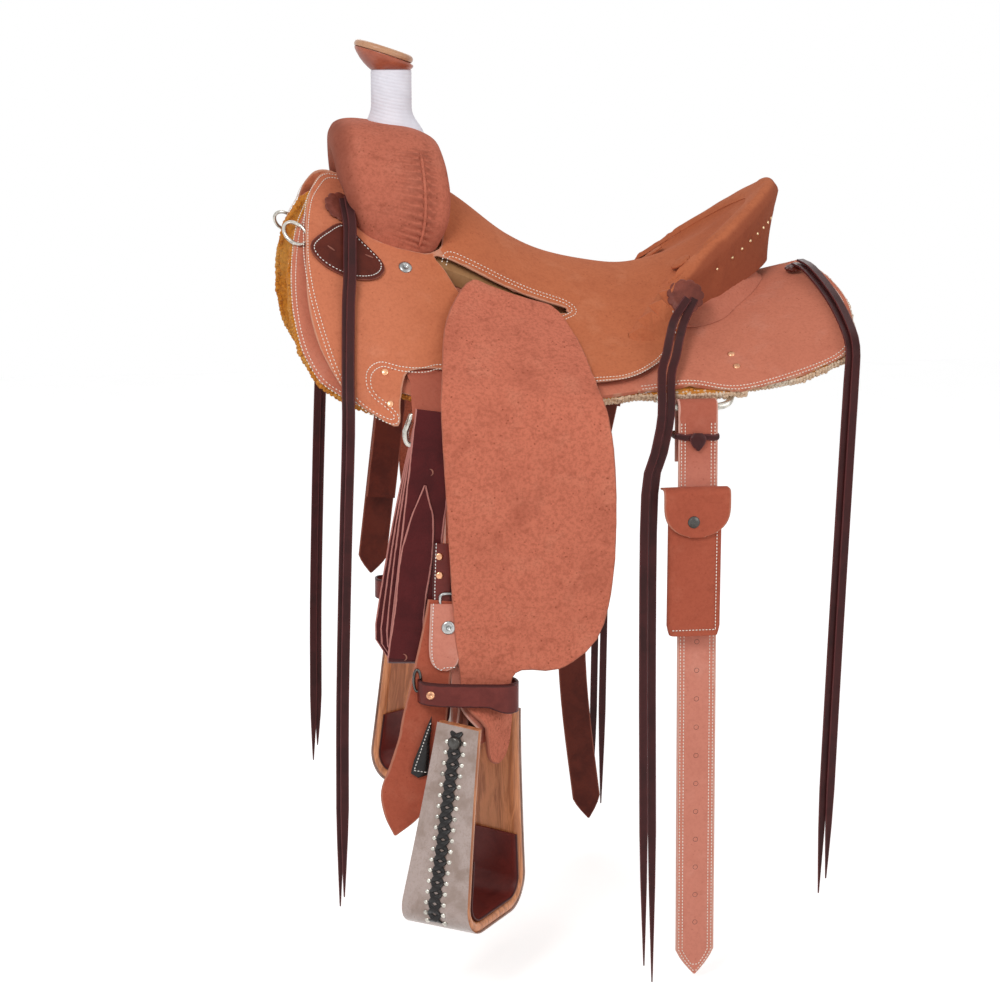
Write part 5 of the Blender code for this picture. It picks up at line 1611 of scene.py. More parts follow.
def fender_point(x, s):
    """Middle of the fender leather: out of the slot, over the seat, then hanging free."""
    on_seat = seat_layer(SEAT_TOP + FENDER_CLEAR + FENDER_THICK / 2)
    stand = stand_off(x, s)
    if s <= FENDER_BREAK_S:
        dive = 16.0 * ease((142.0 - s) / 24.0) ** 1.5
        return on_seat(x, s) + stand - Vector((0, 0.3 * dive, dive))
    start = on_seat(x, FENDER_BREAK_S)
    lean = (on_seat(x, FENDER_BREAK_S) - on_seat(x, FENDER_BREAK_S - 1)) * FENDER_BEND
    leg_gap = FENDER_FOOT_Y - BOLT_Y
    end = Vector((x, -FENDER_FOOT_Y, FENDER_FOOT_Z))
    drop = Vector((0, -8.0, FENDER_FOOT_Z - start.z))
    t = (s - FENDER_BREAK_S) / (FENDER_FOOT_S - FENDER_BREAK_S)
    t2, t3 = t * t, t * t * t
    if t > 1:
        z = FENDER_FOOT_Z - (s - FENDER_FOOT_S)
        at_bolt = ROLLER_RADIUS + STRAP_THICK + FENDER_THICK / 2 + 7.5
        centre, across, out, share = hanging_frame(z, 1)
        return centre + across * (x - BOLT_X) + out * (leg_gap + (at_bolt - leg_gap) * share)
    return (
        stand
        + start * (2 * t3 - 3 * t2 + 1)
        + lean * (t3 - 2 * t2 + t)
        + end * (3 * t2 - 2 * t3)
        + drop * (t3 - t2)
    )


def normal_side(x, s):
    """Outward normal of the fender."""
    down = fender_point(x, s + 1) - fender_point(x, s - 1)
    along = fender_point(x + 1, s) - fender_point(x - 1, s)
    normal = down.cross(along).normalized()
    return normal if normal.y - normal.z < 0 else -normal


def fender_face(offset):
    return lambda x, s: fender_point(x, s) + normal_side(x, s) * offset


def fenders():
    half = FENDER_THICK / 2
    leathers(
        "fender_leather_", rounded(FENDER_OUTLINE, 3), fender_face(-half), fender_face(half),
        FENDER_HIDE, "fender_set_", "fender_", step=9.0, wave=0.9,
    )


def ply(z, near_gap, far_gap, shift=0.0):
    """Point and across direction of one ply; the gaps are its distances at rest and at the bolt."""
    centre, across, out, share = hanging_frame(z, 1)
    return centre + out * (near_gap + (far_gap - near_gap) * share) + across * shift, across


def bolt_frame():
    """Centre of the stirrup bolt, its direction and the way the stirrup faces."""
    centre = Vector((BOLT_X, -BOLT_Y, BOLT_Z))
    along = Vector((math.cos(STIRRUP_TURN), math.sin(STIRRUP_TURN), 0))
    facing = Vector((math.sin(STIRRUP_TURN), -math.cos(STIRRUP_TURN), 0))
    return centre, along, facing


def stirrup_leathers():
    centre, along, facing = bolt_frame()
    reach = ROLLER_RADIUS + 2.0 + STRAP_THICK / 2
    heights = [-262, -300, -330, -365, -400] + [FENDER_FOOT_Z - 4 * k for k in range(16)]
    points, across = [], []
    for z in heights:
        p, a = ply(z, PLY_GAP, reach)
        points.append(p)
        across.append(a)
    for k in range(17):
        angle = math.pi * k / 16
        turn = facing * math.cos(angle) * reach - Vector((0, 0, math.sin(angle) * reach))
        points.append(centre + turn)
        across.append(along)
    for z in reversed(heights):
        p, a = ply(z, -PLY_GAP, -reach)
        points.append(p)
        across.append(a)
    both(
        lambda: ribbon(points, across, STIRRUP_LEATHER_WIDTH, STRAP_THICK), "stirrup_strap_",
        STRAP_HIDE, "fender_set_", "stirrup_leather_",
    )


def hobble_path(rows=64):
    """Centre line of the strap round the leathers, and its outward directions."""
    path = []
    centre, across, out, _ = hanging_frame(HOBBLE_Z, 1)
    for k in range(rows):
        angle = 2 * math.pi * k / rows
        a = squarer(math.cos(angle), 0.6) * HOBBLE_HALF
        b = squarer(math.sin(angle), 0.75) * HOBBLE_DEPTH
        rise = Vector((0, 0, 5.0 - 0.06 * a))
        path.append(centre + across * (a + HOBBLE_SHIFT) + out * (b + HOBBLE_OUT) + rise)
    return path, out


def hobbles():
    """Strap round each fender's foot, broader to the rear, its end riveted over its front."""
    path, out = hobble_path()
    middle = path[0].lerp(path[32], 0.5)
    rear = path[0] - middle
    broad = [
        HOBBLE_BROADER * ease(((p - middle).dot(rear) / rear.length - 18) / 34) for p in path
    ]
    path = [p - Vector((0, 0, w / 2)) for p, w in zip(path, broad)]
    front = [p + out * 3.2 for p in path[4:29]]
    tip = front[0].lerp(front[1], 0.5)
    widths = [20.0, 31.0, 36.0] + [HOBBLE_WIDTH - 1.5 + w for w in broad[7:29]]
    full = [HOBBLE_WIDTH + w for w in broad]
    both(
        lambda: ribbon(path, UP, full, STRAP_THICK, closed=True), "hobble_band_", BURGUNDY_STRAP,
        "fender_set_", "hobble_strap_",
    )
    both(
        lambda: ribbon([tip] + front[1:], UP, widths, 3.0, crown=0.5), "hobble_end_",
        BURGUNDY_STRAP, "fender_set_",
    )
    for side, label in SIDES:
        RIVETS.turned("fender_set_" + label, BURR, front[20] + out * 2.4, out, side=side)


# Stirrups


def leg_path(width_top, width_tread, top, bottom, corner, steps=14):
    """Half of the stirrup's U in its own plane: across, height."""
    lean = math.atan2((width_tread - width_top) / 2, top - bottom)
    foot = width_tread / 2
    start = (width_top / 2, top)
    end = (foot - corner + corner * math.cos(-lean), bottom + corner - corner * math.sin(-lean))
    points = [
        (start[0] + (end[0] - start[0]) * k / 12, start[1] + (end[1] - start[1]) * k / 12)
        for k in range(12)
    ]
    for k in range(steps + 1):
        angle = -lean + (math.pi / 2 + lean) * k / steps
        points.append(
            (foot - corner + corner * math.cos(angle), bottom + corner - corner * math.sin(angle))
        )
    points += [((foot - corner) * share, bottom) for share in (0.66, 0.33)]
    points.append((0.0, bottom))
    return points


def stirrup_path(side, sunk):
    """Line of the stirrup's U, moved inwards: in its own plane, and in place."""
    centre, along, _ = bolt_frame()
    half = leg_path(
        STIRRUP_INNER_TOP + STIRRUP_WALL - 2 * sunk,
        STIRRUP_INNER_TREAD + STIRRUP_WALL - 2 * sunk,
        STIRRUP_TOP,
        STIRRUP_BOTTOM + sunk,
        STIRRUP_CORNER - sunk,
    )
    level = half + [(-a, b) for a, b in reversed(half[:-1])]
    lean = STIRRUP_LEAN * max(side, 0)
    return level, [centre + along * a + Vector((b * lean, 0, b)) for a, b in level]


def stirrup_width(height):
    """Width of the stirrup's band, from its narrow top to its wide tread."""
    share = (STIRRUP_TOP - height) / (STIRRUP_TOP - STIRRUP_BOTTOM)
    return STIRRUP_TOP_WIDTH + (STIRRUP_TREAD_WIDTH - STIRRUP_TOP_WIDTH) * share**1.2


def stirrups():
    facing = bolt_frame()[2]
    for side, label in SIDES:
        body = "stirrup_set_" + label
        level, path = stirrup_path(side, 0.0)
        widths = [stirrup_width(b) for _, b in level]
        bm = ribbon(path, facing, widths, STIRRUP_WALL, columns=10, shave=3.0)
        finished(bm, "stirrup_wood_" + label, VARNISHED, body, ["stirrup_" + label], side, sharp=60)
        level, path = stirrup_path(side, -(STIRRUP_WALL / 2 + BINDING_OUT))
        widths = [stirrup_width(b) + 1.0 for _, b in level]
        bm = ribbon(path, facing, widths, 1.6, columns=10, shave=1.5)
        finished(bm, "stirrup_binding_" + label, BINDING, body, side=side)
        lacing(body, side, path, facing)
        tread_cover(label, side, facing)


def lacing(body, side, path, facing):
    """Black thong crossed down the outside of the stirrup, with nails beside each crossing."""
    frames = frames_along(path, facing)
    between = path[0].lerp(path[-1], 0.5)
    half = len(path) // 2
    for run in (path[: half + 1], path[half:][::-1]):
        for spot, way in evenly(run, LACE_PITCH)[1:-6]:
            nearest = min(frames, key=lambda f: (f[0] - spot).length_squared)
            out = nearest[2] if nearest[2].dot(spot - between) > 0 else -nearest[2]
            bm = LACES.bmesh_for(body, side)
            for tilt in (1, -1):
                a = spot - facing * LACE_HALF[0] * tilt - way * LACE_HALF[1] + out * 0.4
                b = spot + facing * LACE_HALF[0] * tilt + way * LACE_HALF[1] + out * 0.4
                middle = a.lerp(b, 0.5) + out * (2.0 if tilt > 0 else 3.4)
                strand = smooth_line([a, middle, b], 4)
                join(bm, ribbon(strand, way.cross(out), LACE_WIDTHS, 2.4, columns=4, shave=0.5))
            for hand in (1, -1):
                nail = spot + facing * NAIL_PLACE[0] * hand + way * NAIL_PLACE[1] + out * 0.7
                NAILS.turned(body, NAIL, nail, out, sides=10, side=side)


def tread_cover(label, side, facing):
    sunk = (STIRRUP_WALL + TREAD_COVER_THICK) / 2 + 2.5 * FIT_GAP
    level, path = stirrup_path(side, sunk)
    keep = [i for i, (_, b) in enumerate(level) if b < STIRRUP_BOTTOM + TREAD_COVER_HEIGHT]
    widths = [stirrup_width(level[i][1]) - 2 for i in keep]
    bm = ribbon([path[i] for i in keep], facing, widths, TREAD_COVER_THICK, columns=10, shave=1.2)
    finished(
        bm, "tread_leather_" + label, BURGUNDY_STRAP, "stirrup_set_" + label,
        ["tread_cover_" + label], side,
    )


def stirrup_bolts():
    centre, along, _ = bolt_frame()
    inner = STIRRUP_INNER_TOP / 2 - 2.5
    outer = STIRRUP_INNER_TOP / 2 + STIRRUP_WALL + 5
    half = (
        (0, outer + 6.0), (4.5, outer + 6.0), (7.2, outer + 5.2), (8.5, outer + 3.4), (8.5, outer),
        (5.0, outer), (5.0, inner), (11.0, inner), (12.0, inner - 1.0),
    )
    profile = list(half) + [(r, -h) for r, h in reversed(half)]
    both(
        lambda: turned(profile, centre, along, 32), "stirrup_pin_", DARK_METAL, "stirrup_set_",
        "stirrup_bolt_",
    )


# Rigging


def d_path(bar, across, down, width, height, wire, square, steps=36):
    """Centre line of a D of bent wire, from its straight bar down and round the bottom."""
    across = Vector(across)
    down = Vector(down).normalized()
    half = width / 2 - wire
    drop = height - 2 * wire
    path = []
    for k in range(9):
        path.append(bar + across * (half - 8) * (1 - k / 4))
    for k in range(1, steps):
        angle = math.pi * k / steps
        a = -squarer(math.cos(angle), 2 / square) * half
        b = abs(math.sin(angle)) ** (2 / square) * drop
        if b > 4.0:
            path.append(bar + across * a + down * b)
    return path


def ring_across():
    return Vector((math.cos(RING_TURN), -math.sin(RING_TURN), 0))


# Half width of the rigging leather down the skirt: s, half width
RIGGING_HALVES = ((160, 39), (215, 39), (270, 39), (296, 34), (322, 25))


def front_rigging():
    bar = barrel(RING_X, RING_BAR_S)
    across = ring_across()
    outward = across.cross(UP)
    inside = RING_WIRE + 4.5 * FIT_GAP
    low, high = layer(LAYER_GAP), layer(LAYER_GAP + RIGGING_THICK)
    spots = []
    for k in range(15):
        s = 160 + (322 - 160) * k / 14
        spots.append((s, through(RIGGING_HALVES, s, 1)))

    def wall(level):
        def place(a, b):
            row = b * 29
            if row <= 14.5:
                s, half = spots[round(row)]
                surface = high if level else low
                return surface(RING_X + (2 * a - 1) * half, s)
            k = round(row) - 15
            angle = math.radians(30 - 224 * k / 14)
            out = outward * math.cos(angle) + UP * math.sin(angle)
            far = inside + (RIGGING_THICK if level else 0.0)
            return bar + across * (2 * a - 1) * 25 + out * far

        return place

    path = d_path(bar, across, (0, 0, -1), RING_WIDTH, RING_HEIGHT, RING_WIRE, 8.0)
    both(
        lambda: shell(12, 29, wall(0), wall(1)), "rigging_leather_", STRAP_HIDE, "saddle",
        "rigging_plate_",
    )
    both(
        lambda: tube(path, RING_WIRE, 16, closed=True, across=outward), "cinch_ring_", NICKEL,
        "ring_", "front_ring_",
    )


def rear_dees():
    top = layer(DEE_LAYER)(DEE_X, DEE_TOP_S)
    low = layer(DEE_LAYER)(DEE_X, DEE_BOTTOM_S)
    down = low - top
    path = d_path(top, (1, 0, 0), down, DEE_WIDTH, down.length + 2 * DEE_WIRE, DEE_WIRE, 4.5)
    normal = Vector((1, 0, 0)).cross(down).normalized()
    both(
        lambda: tube(path, DEE_WIRE, 16, closed=True, across=normal), "flank_dee_", NICKEL,
        "saddle", "rear_dee_",
    )


def breast_dees():
    path = []
    surface = layer(LAYER_GAP + 1.0)
    for k in range(36):
        angle = 2 * math.pi * k / 36
        x = BREAST_DEE_X - 15.0 * math.cos(angle)
        path.append(surface(x, BREAST_DEE_S + 16.0 * math.sin(angle)))
    normal = normal_of(barrel, -360, BREAST_DEE_S)
    both(
        lambda: tube(path, BREAST_DEE_WIRE, 12, closed=True, across=normal), "breast_ring_", NICKEL,
        "breast_", "breast_dee_",
    )


# Straps


# Spare turns of the latigo: extra lean forward, lowest point, distance outwards
LATIGO_TURNS = ((0.020, -404.0, 4.4), (0.048, -402.0, 0.9), (0.076, -398.0, -2.6))
# The latigo's cut tongue on its outer ply: height, x of its middle, width
LATIGO_LEAF = (
    (-174.0, -214.0, 3.0), (-196.0, -216.0, 17.0), (-218.0, -218.0, 30.0), (-268.0, -226.0, 41.0),
    (-320.0, -233.0, 38.0), (-350.0, -236.0, 40.0), (-374.0, -237.0, 46.0), (-396.0, -239.0, 49.0),
)
# Crescents cut in the latigo: name, height, x, how far out
LATIGO_CRESCENTS = (("top", -158.0, -211.0, 0.2), ("low", -393.0, -246.0, 3.0))


def latigo():
    """Long tie strap folded on the near ring, its spare turns fanned forward."""
    bar = barrel(RING_X, RING_BAR_S)
    foot = bar.z - RING_HEIGHT + 2 * RING_WIRE
    across = ring_across()
    out = UP.cross(across)
    out = -out if out.y > 0 else out
    loop = RING_WIRE + 2.2 + STRAP_THICK / 2

    def spot(z, gap):
        return Vector((bar.x - (foot - z) * LATIGO_LEAN, bar.y, z)) + out * gap

    heights = (LATIGO_TOP_Z, -120, -160, -200, -240, -280, -320, -360, LATIGO_FOLD_Z)
    points = [spot(z, LATIGO_OUTER) for z in heights]
    middle = (LATIGO_OUTER - loop) / 2
    turn = (LATIGO_OUTER + loop) / 2
    for k in range(1, 12):
        angle = math.pi * k / 12
        points.append(spot(LATIGO_FOLD_Z - math.sin(angle) * turn, middle + math.cos(angle) * turn))
    heights = (LATIGO_FOLD_Z, -350, -300, -250, -200, -160, foot - 12, foot)
    points += [spot(z, -loop) for z in heights]
    for k in range(1, 10):
        angle = math.pi * k / 10
        points.append(spot(foot + math.sin(angle) * loop, -math.cos(angle) * loop))
    points += [spot(z, loop) for z in (foot, foot - 20, -200, -260, -320, LATIGO_FOLD_Z + 18)]
    bm = ribbon(points, across, LATIGO_WIDTH, STRAP_THICK)
    finished(bm, "latigo_folds", BURGUNDY, "latigo_body", ["latigo_near"])
    for k, (lean, low, gap) in enumerate(LATIGO_TURNS):
        count = 16
        ply_points, widths = [], []
        for i in range(count + 1):
            share = i / count
            z = -86 + (low + 86) * share
            shift = -lean * (-86 - z) - 4.0 * math.sin(math.pi * share)
            ply_points.append(spot(z, gap) + across * shift)
            end = max(0.0, (share - 0.86) / 0.14)
            widths.append((LATIGO_WIDTH - 2) * math.sqrt(max(0.03, 1 - end**2.4)))
        bm = ribbon(ply_points, across, widths, 2.6)
        finished(bm, f"latigo_turn_{k + 1}", BURGUNDY, "latigo_body")
    face = LATIGO_OUTER + STRAP_THICK / 2
    leaf = [spot(z, face + 1.6) + across * (x - spot(z, 0).x) for z, x, _ in LATIGO_LEAF]
    widths = smooth_widths([w for _, _, w in LATIGO_LEAF], 4)
    bm = ribbon(smooth_line(leaf, 4), across, widths, 2.4)
    finished(bm, "latigo_tongue", BURGUNDY, "latigo_body")
    thin = [0.2 + 0.9 * math.sin(math.pi * k / 9) for k in range(10)]
    for label, z, x, lift in LATIGO_CRESCENTS:
        middle = spot(z, face + lift)
        middle += across * (x - middle.x)
        arc = []
        for k in range(10):
            angle = k * 0.33 - 1.3
            arc.append(middle + across * 4.2 * math.cos(angle) + UP * 4.2 * math.sin(angle))
        finished(tube(arc, thin, 8), "latigo_crescent_" + label, SLIT_LOOK, "latigo_body")


def hung_strap(bar, side, heights, wire, short_z, long_z, tip, bend):
    """Path of a strap over a bar, its short ply inside, and where its long ply starts."""
    loop = wire + BILLET_SLACK + STRAP_THICK / 2
    outward = -side
    points = []
    for z in (short_z, (short_z + bar.z) / 2, bar.z - 20, bar.z):
        points.append(Vector((bar.x + bend(z), bar.y - outward * loop, z)))
    for k in range(1, 10):
        angle = math.pi * k / 10
        y = bar.y - outward * math.cos(angle) * loop
        points.append(Vector((bar.x, y, bar.z + math.sin(angle) * loop)))
    count = len(points)
    for z in heights:
        points.append(Vector((bar.x + bend(z), bar.y + outward * loop, z)))
    for share in (0.0, 0.3, 0.6, 0.85, 1.0):
        z = long_z + tip * (1 - share)
        points.append(Vector((bar.x + bend(z), bar.y + outward * loop, z)))
    return points, count


def strap_widths(points, width):
    return [width] * (len(points) - 4) + [width * 0.80, width * 0.52, width * 0.24, 3.0]


def strap_stitches(thread, body, points, start, width, out, side=1, rows=(STRAP_STITCH_IN,)):
    """Rows of stitches down both edges of a strap's outer ply and round its point."""
    outer = points[start:]
    widths = strap_widths(points, width)[start:]
    lift = out * (STRAP_THICK / 2 + 0.1)
    for inner in rows:
        halves = [(point, w / 2 - inner) for point, w in zip(outer, widths) if w / 2 - inner >= 0.5]
        down, up = (
            [point + Vector((hand * half, 0, 0)) + lift for point, half in halves]
            for hand in (1, -1)
        )
        sew_path(thread, body, down + up[::-1], out, side)


def far_billet_bend(drop):
    """Forward bow of the far billet at a distance below its dee."""
    share = min(1.0, drop / 760.0)
    return -FAR_BILLET_BOW * math.sin(math.pi * min(1.0, share * 1.02)) ** 1.2 - 30.0 * share


def dee_bar():
    low = layer(DEE_LAYER)(DEE_X, DEE_BOTTOM_S)
    return Vector((DEE_X, low.y, low.z))


def billet_lace(bar):
    """Thin thong tied round both plies of the near billet, with a leaf-shaped knot."""
    x, z = bar.x - 1.0, -121.0
    half, deep = BILLET_WIDTH / 2 + 2.4, DEE_WIRE + BILLET_SLACK + STRAP_THICK + 1.4
    band = []
    for k in range(40):
        angle = 2 * math.pi * k / 40
        px = x + squarer(math.cos(angle), 0.3) * half
        py = bar.y + squarer(math.sin(angle), 0.3) * deep
        band.append(Vector((px, py, z + 1.2 * math.sin(px * 0.2))))
    bm = ribbon(band, (0, 0, 1), 8.0, 3.0, closed=True, columns=4, crown=0.6)
    finished(bm, "billet_lace", THONG, "flank_near")
    face = bar.y - deep - 1.6
    knot = smooth_line(
        [
            (x, face, z + 5), (x, face - 1.6, z - 1), (x + 0.5, face - 1.2, z - 9),
            (x + 1, face, z - 17),
        ],
        5,
    )
    bm = ribbon(knot, (1, 0, 0), smooth_widths((12, 21, 17, 4), 5), 2.4, crown=0.8)
    finished(bm, "billet_knot", THONG, "flank_near")


def flank_billets():
    bar = dee_bar()
    out = OUTWARD
    for side, label in SIDES:
        near = side > 0
        long_z = BILLET_TIP_Z if near else FAR_BILLET_TIP_Z
        width = BILLET_WIDTH if near else FAR_BILLET_WIDTH

        def bend(z):
            return (bar.z - z) * BILLET_DRIFT if near else far_billet_bend(bar.z - z)

        heights = [bar.z - 20 - k * 30 for k in range(26) if bar.z - 20 - k * 30 > long_z + 60]
        points, start = hung_strap(bar, 1, heights, DEE_WIRE, bar.z - 70, long_z, 34, bend)
        look = STRAP_HIDE if near else BROWN_HIDE
        body = "flank_" + label
        bm = ribbon(points, (1, 0, 0), strap_widths(points, width), STRAP_THICK)
        finished(bm, "billet_strap_" + label, look, body, ["flank_billet_" + label], side)
        thread = STITCHES if near else PALE_STITCHES
        strap_stitches(thread, body, points, start, width, out, side, rows=(4.0, 8.6))
        face = points[-1] + out * (STRAP_THICK / 2)
        if near:
            billet_lace(bar)
        # painted shade: dark discs stand in for the punched holes
        for k in range(BILLET_HOLES if near else FAR_BILLET_HOLES):
            z = long_z + BILLET_HOLE_PITCH * (1.9 + k)
            HOLES.turned(body, HOLE, (bar.x + bend(z), face.y, z), out, sides=12, side=side)


def off_billet():
    bar = barrel(RING_X, RING_BAR_S)
    foot = bar.z - RING_HEIGHT + 2 * RING_WIRE
    start = Vector((bar.x, bar.y, foot))
    heights = [foot - 15 - 20 * k for k in range(12)]

    def lean(z):
        return (z - foot) * LATIGO_LEAN

    points, first = hung_strap(start, 1, heights, RING_WIRE, foot - 160, foot - 278, 26, lean)
    bm = ribbon(points, ring_across(), strap_widths(points, OFF_BILLET_WIDTH), STRAP_THICK)
    finished(bm, "cinch_billet_far", BROWN_HIDE, "off_billet_body", ["off_billet_far"], -1)
    out = OUTWARD
    strap_stitches(PALE_STITCHES, "off_billet_body", points, first, OFF_BILLET_WIDTH, out, -1)
    face = points[-1] + out * (STRAP_THICK / 2)
    # painted shade: dark discs stand in for the punched holes
    for k in range(OFF_BILLET_HOLES):
        z = foot - 240 + OFF_BILLET_PITCH * k
        HOLES.turned("off_billet_body", HOLE, (bar.x + lean(z), face.y, z), out, sides=12, side=-1)


# The near leather's tail behind the fender and below it: x, y, z, width
TAIL = (
    (-199, -288, -318, 34), (-204, -288.5, -360, 40), (-210, -289, -400, 46),
    (-216, -289.5, -440, 52), (-222, -290, -475, 57), (-226, -290, -500, 58),
    (-236, -292, -535, 61), (-247, -295, -570, 64), (-255, -298, -596, 40),
    (-261, -300, -618, 3),
)
# The bodies between which the tail bends, and the points in metres where it starts and ends
TAIL_BEND = (
    "fender_set_near", "stirrup_set_near", (-0.220, -0.289, -0.452), (-0.226, -0.290, -0.500),
)
TAIL_PANEL = ((-213, -464), (-216, -500), (-219, -541), (-240, -538), (-228, -502))
TAIL_STITCHES = ((-215, -474), (-226, -505), (-236, -534), (-222, -537))


def leather_tail():
    """Near leather's tail with its dark panel; both bend where the stirrup swings."""
    nodes = ["leather_tail_near"]
    hanging_strap("tail_leather", TAIL, POUCH_HIDE, TAIL_BEND, nodes=nodes)

    def panel_face(level):
        return lambda x, z: Vector((x, level, z))

    outline, front = rounded(TAIL_PANEL, 2), panel_face(-299.0)
    leather("tail_panel", outline, panel_face(-296.5), front, BLACK_LACE, TAIL_BEND, step=9.0)
    sew(PALE_STITCHES, "stirrup_set_near", TAIL_STITCHES, front)


def hanging_strap(name, spots, look, body, thick=STRAP_THICK, nodes=()):
    """Strap through spots of x, y, z and width."""
    path = smooth_line([Vector(t[:3]) for t in spots], 5)
    widths = [max(w, 3.0) for w in smooth_widths([t[3] for t in spots], 5)]
    finished(ribbon(path, (1, 0, 0), widths, thick), name, look, body, nodes)
    return path, widths


# Straps that show in front of the near fender's edge: x, y, z, width
BUCKLE_STRAP = ((-196, -286, -246, 24), (-198, -286, -300, 24), (-199, -286.5, -372, 24))
KEEPER_PANEL = (
    (-193, -291.5, -322, 40), (-194, -292, -350, 41), (-195, -292.5, -376, 41),
    (-196, -293, -392, 37), (-197, -293, -402, 27), (-197.5, -293, -407, 10),
)
# Ends of the stirrup leather's inner plies below the fender's foot: x, y, z, width
INNER_PLIES = (
    (
        BURGUNDY_STRAP,
        (
            (-198, -284, -392, 26), (-200, -284, -430, 28), (-202, -284, -470, 26),
            (-200, -284, -484, 12),
        ),
    ),
    (STRAP_HIDE, ((-178, -286, -404, 22), (-177, -286, -440, 22), (-176, -286, -486, 22))),
)


def fender_backing():
    """Inner plies, buckle strap and keeper that show in front of the near fender."""
    body = "fender_set_near"
    for k, (look, spots) in enumerate(INNER_PLIES):
        hanging_strap(f"inner_ply_{k + 1}", spots, look, body, 2.4)
    path, _ = hanging_strap("buckle_strap", BUCKLE_STRAP, BURGUNDY_STRAP, body)
    edge = [p + Vector((-9.0, -1.8, 0)) for p in path]
    sew_path(PALE_STITCHES, body, edge, OUTWARD)
    for z in (-262, -286, -352):
        RIVETS.turned(body, RIVET, (-201, -287.6, z), OUTWARD, sides=14)
    path, widths = hanging_strap("keeper_panel", KEEPER_PANEL, STRAP_HIDE, body, 2.8)
    row = [p + Vector((-w / 2 + 3.4, -1.5, 0)) for p, w in zip(path, widths) if w > 12]
    low = [Vector((x, -294.6, -403.2)) for x in (-196, -192, -188, -184)]
    sew_path(PALE_STITCHES, body, row + low, OUTWARD)
    SCREWS.turned(body, FERRULE, (-191, -293.6, -352), OUTWARD, sides=20)
    wire_loop("fender_buckle", (-190, -290.0, -318), (11, 9), 28, 0.5, 1.9, STEEL)
    wire_loop("strap_loop", (-230.5, -292.0, -419), (4.5, 14.0), 24, 1.0, 1.8, DARK_METAL)


def wire_loop(name, centre, half, sides, power, wire, look):
    """Bent wire loop of the near fender's straps, facing outwards."""
    loop = []
    for k in range(sides):
        t = 2 * math.pi * k / sides
        x = half[0] * squarer(math.cos(t), power)
        z = half[1] * squarer(math.sin(t), power)
        loop.append(Vector((centre[0] + x, centre[1], centre[2] + z)))
    bm = tube(loop, wire, 10, closed=True, across=(0, 1, 0))
    finished(bm, name, look, "fender_set_near")


# Pouch


def pouch():
    bar = dee_bar()
    x = bar.x + POUCH_SHIFT
    face_y = bar.y - (DEE_WIRE + BILLET_SLACK + STRAP_THICK / 2)
    back = face_y - STRAP_THICK / 2 - FIT_GAP
    front = back - POUCH_DEPTH

    def section(z, wall):
        """Outline of the pouch at a height, drawn in at its foot and full in its middle."""
        low = (z - POUCH_BOTTOM_Z) / (POUCH_TOP_Z - POUCH_BOTTOM_Z)
        half = POUCH_WIDTH / 2 - wall - 3.0 * (1 - ease(low / 0.06))
        belly = 1.5 * math.sin(math.pi * min(1.0, max(0.0, low)) ** 0.8)
        deep = (back - front) / 2 - wall
        return half, deep, belly

    def wall_at(wall):
        def place(a, b):
            z = POUCH_BOTTOM_Z + wall + (POUCH_TOP_Z - POUCH_BOTTOM_Z - wall) * b
            half, deep, belly = section(z, wall)
            angle = 2 * math.pi * a
            c, s = math.cos(angle), math.sin(angle)
            px = squarer(c, 0.35) * half
            py = squarer(s, 0.55) * deep
            if s < 0:
                py -= belly * (1 - (px / half) ** 2)
            return Vector((x + px, (back + front) / 2 + py, z))

        return place

    bm = bmesh.new()
    bmesh.ops.create_grid(bm, x_segments=56, y_segments=30, size=0.5)
    outer = wall_at(0.0)
    for v in bm.verts:
        v.co = outer(v.co.x + 0.5, v.co.y + 0.5)
    bmesh.ops.remove_doubles(bm, verts=bm.verts[:], dist=0.01)
    floor = [e for e in bm.edges if e.is_boundary and e.verts[0].co.z < POUCH_BOTTOM_Z + 1]
    bmesh.ops.holes_fill(bm, edges=floor, sides=0)
    bmesh.ops.recalc_face_normals(bm, faces=bm.faces[:])
    bmesh.ops.solidify(bm, geom=bm.faces[:], thickness=POUCH_WALL)
    finished(bm, "pouch_body", POUCH_HIDE, "flank_near", ["pouch"])
    right, foot = x + POUCH_WIDTH / 2 - 7.5, POUCH_BOTTOM_Z + 8.0
    line = [Vector((x - POUCH_WIDTH / 2 + 6 + k * 9, front - 0.6, foot)) for k in range(6)]
    line += [Vector((right, front - 1.0, foot + k * 12)) for k in range(13)]
    sew_path(STITCHES, "flank_near", line, OUTWARD)
    pouch_flap(x, back, front)


def pouch_flap(x, back, front):
    lift = POUCH_TOP_Z + FIT_GAP + 3.7
    out = front - FIT_GAP - 3.5
    path = smooth_line(
        [
            (x, back - 2, lift),
            (x, (front + back) / 2, lift + 1),
            (x, front - 1, lift),
            (x, out, lift - 6.5),
            (x, out - 0.6, lift - 18),
            (x, out - 0.8, lift - 29.5),
            (x, out - 0.5, POUCH_TOP_Z - 38),
            (x, out, POUCH_TOP_Z - 50),
            (x, out, POUCH_TOP_Z - FLAP_DROP),
        ],
        3,
    )
    widths = []
    for p in path:
        low = max(0.0, (POUCH_TOP_Z - 10 - p.z) / (FLAP_DROP - 10))
        widths.append(FLAP_WIDTH * math.sqrt(max(0.06, 1 - low**3.0)))
    bm = ribbon(path, (1, 0, 0), widths, POUCH_WALL, columns=10, crown=0.4)
    finished(bm, "pouch_flap_leather", POUCH_HIDE, "flap", ["pouch_flap"])
    snap = Vector((x - 5, out - POUCH_WALL / 2 - 0.9, POUCH_TOP_Z - 35))
    finished(turned(SNAP, snap, OUTWARD, 28), "pouch_snap", DARK_METAL, "flap")


# Plates, rosettes and strings


CONCHO_THICK = 4.0
# Slits in the plate: x, s, how far they turn from the line of the horse
CONCHO_SLITS = ((-323, 184, 0.35), (-275, 168, -0.15))


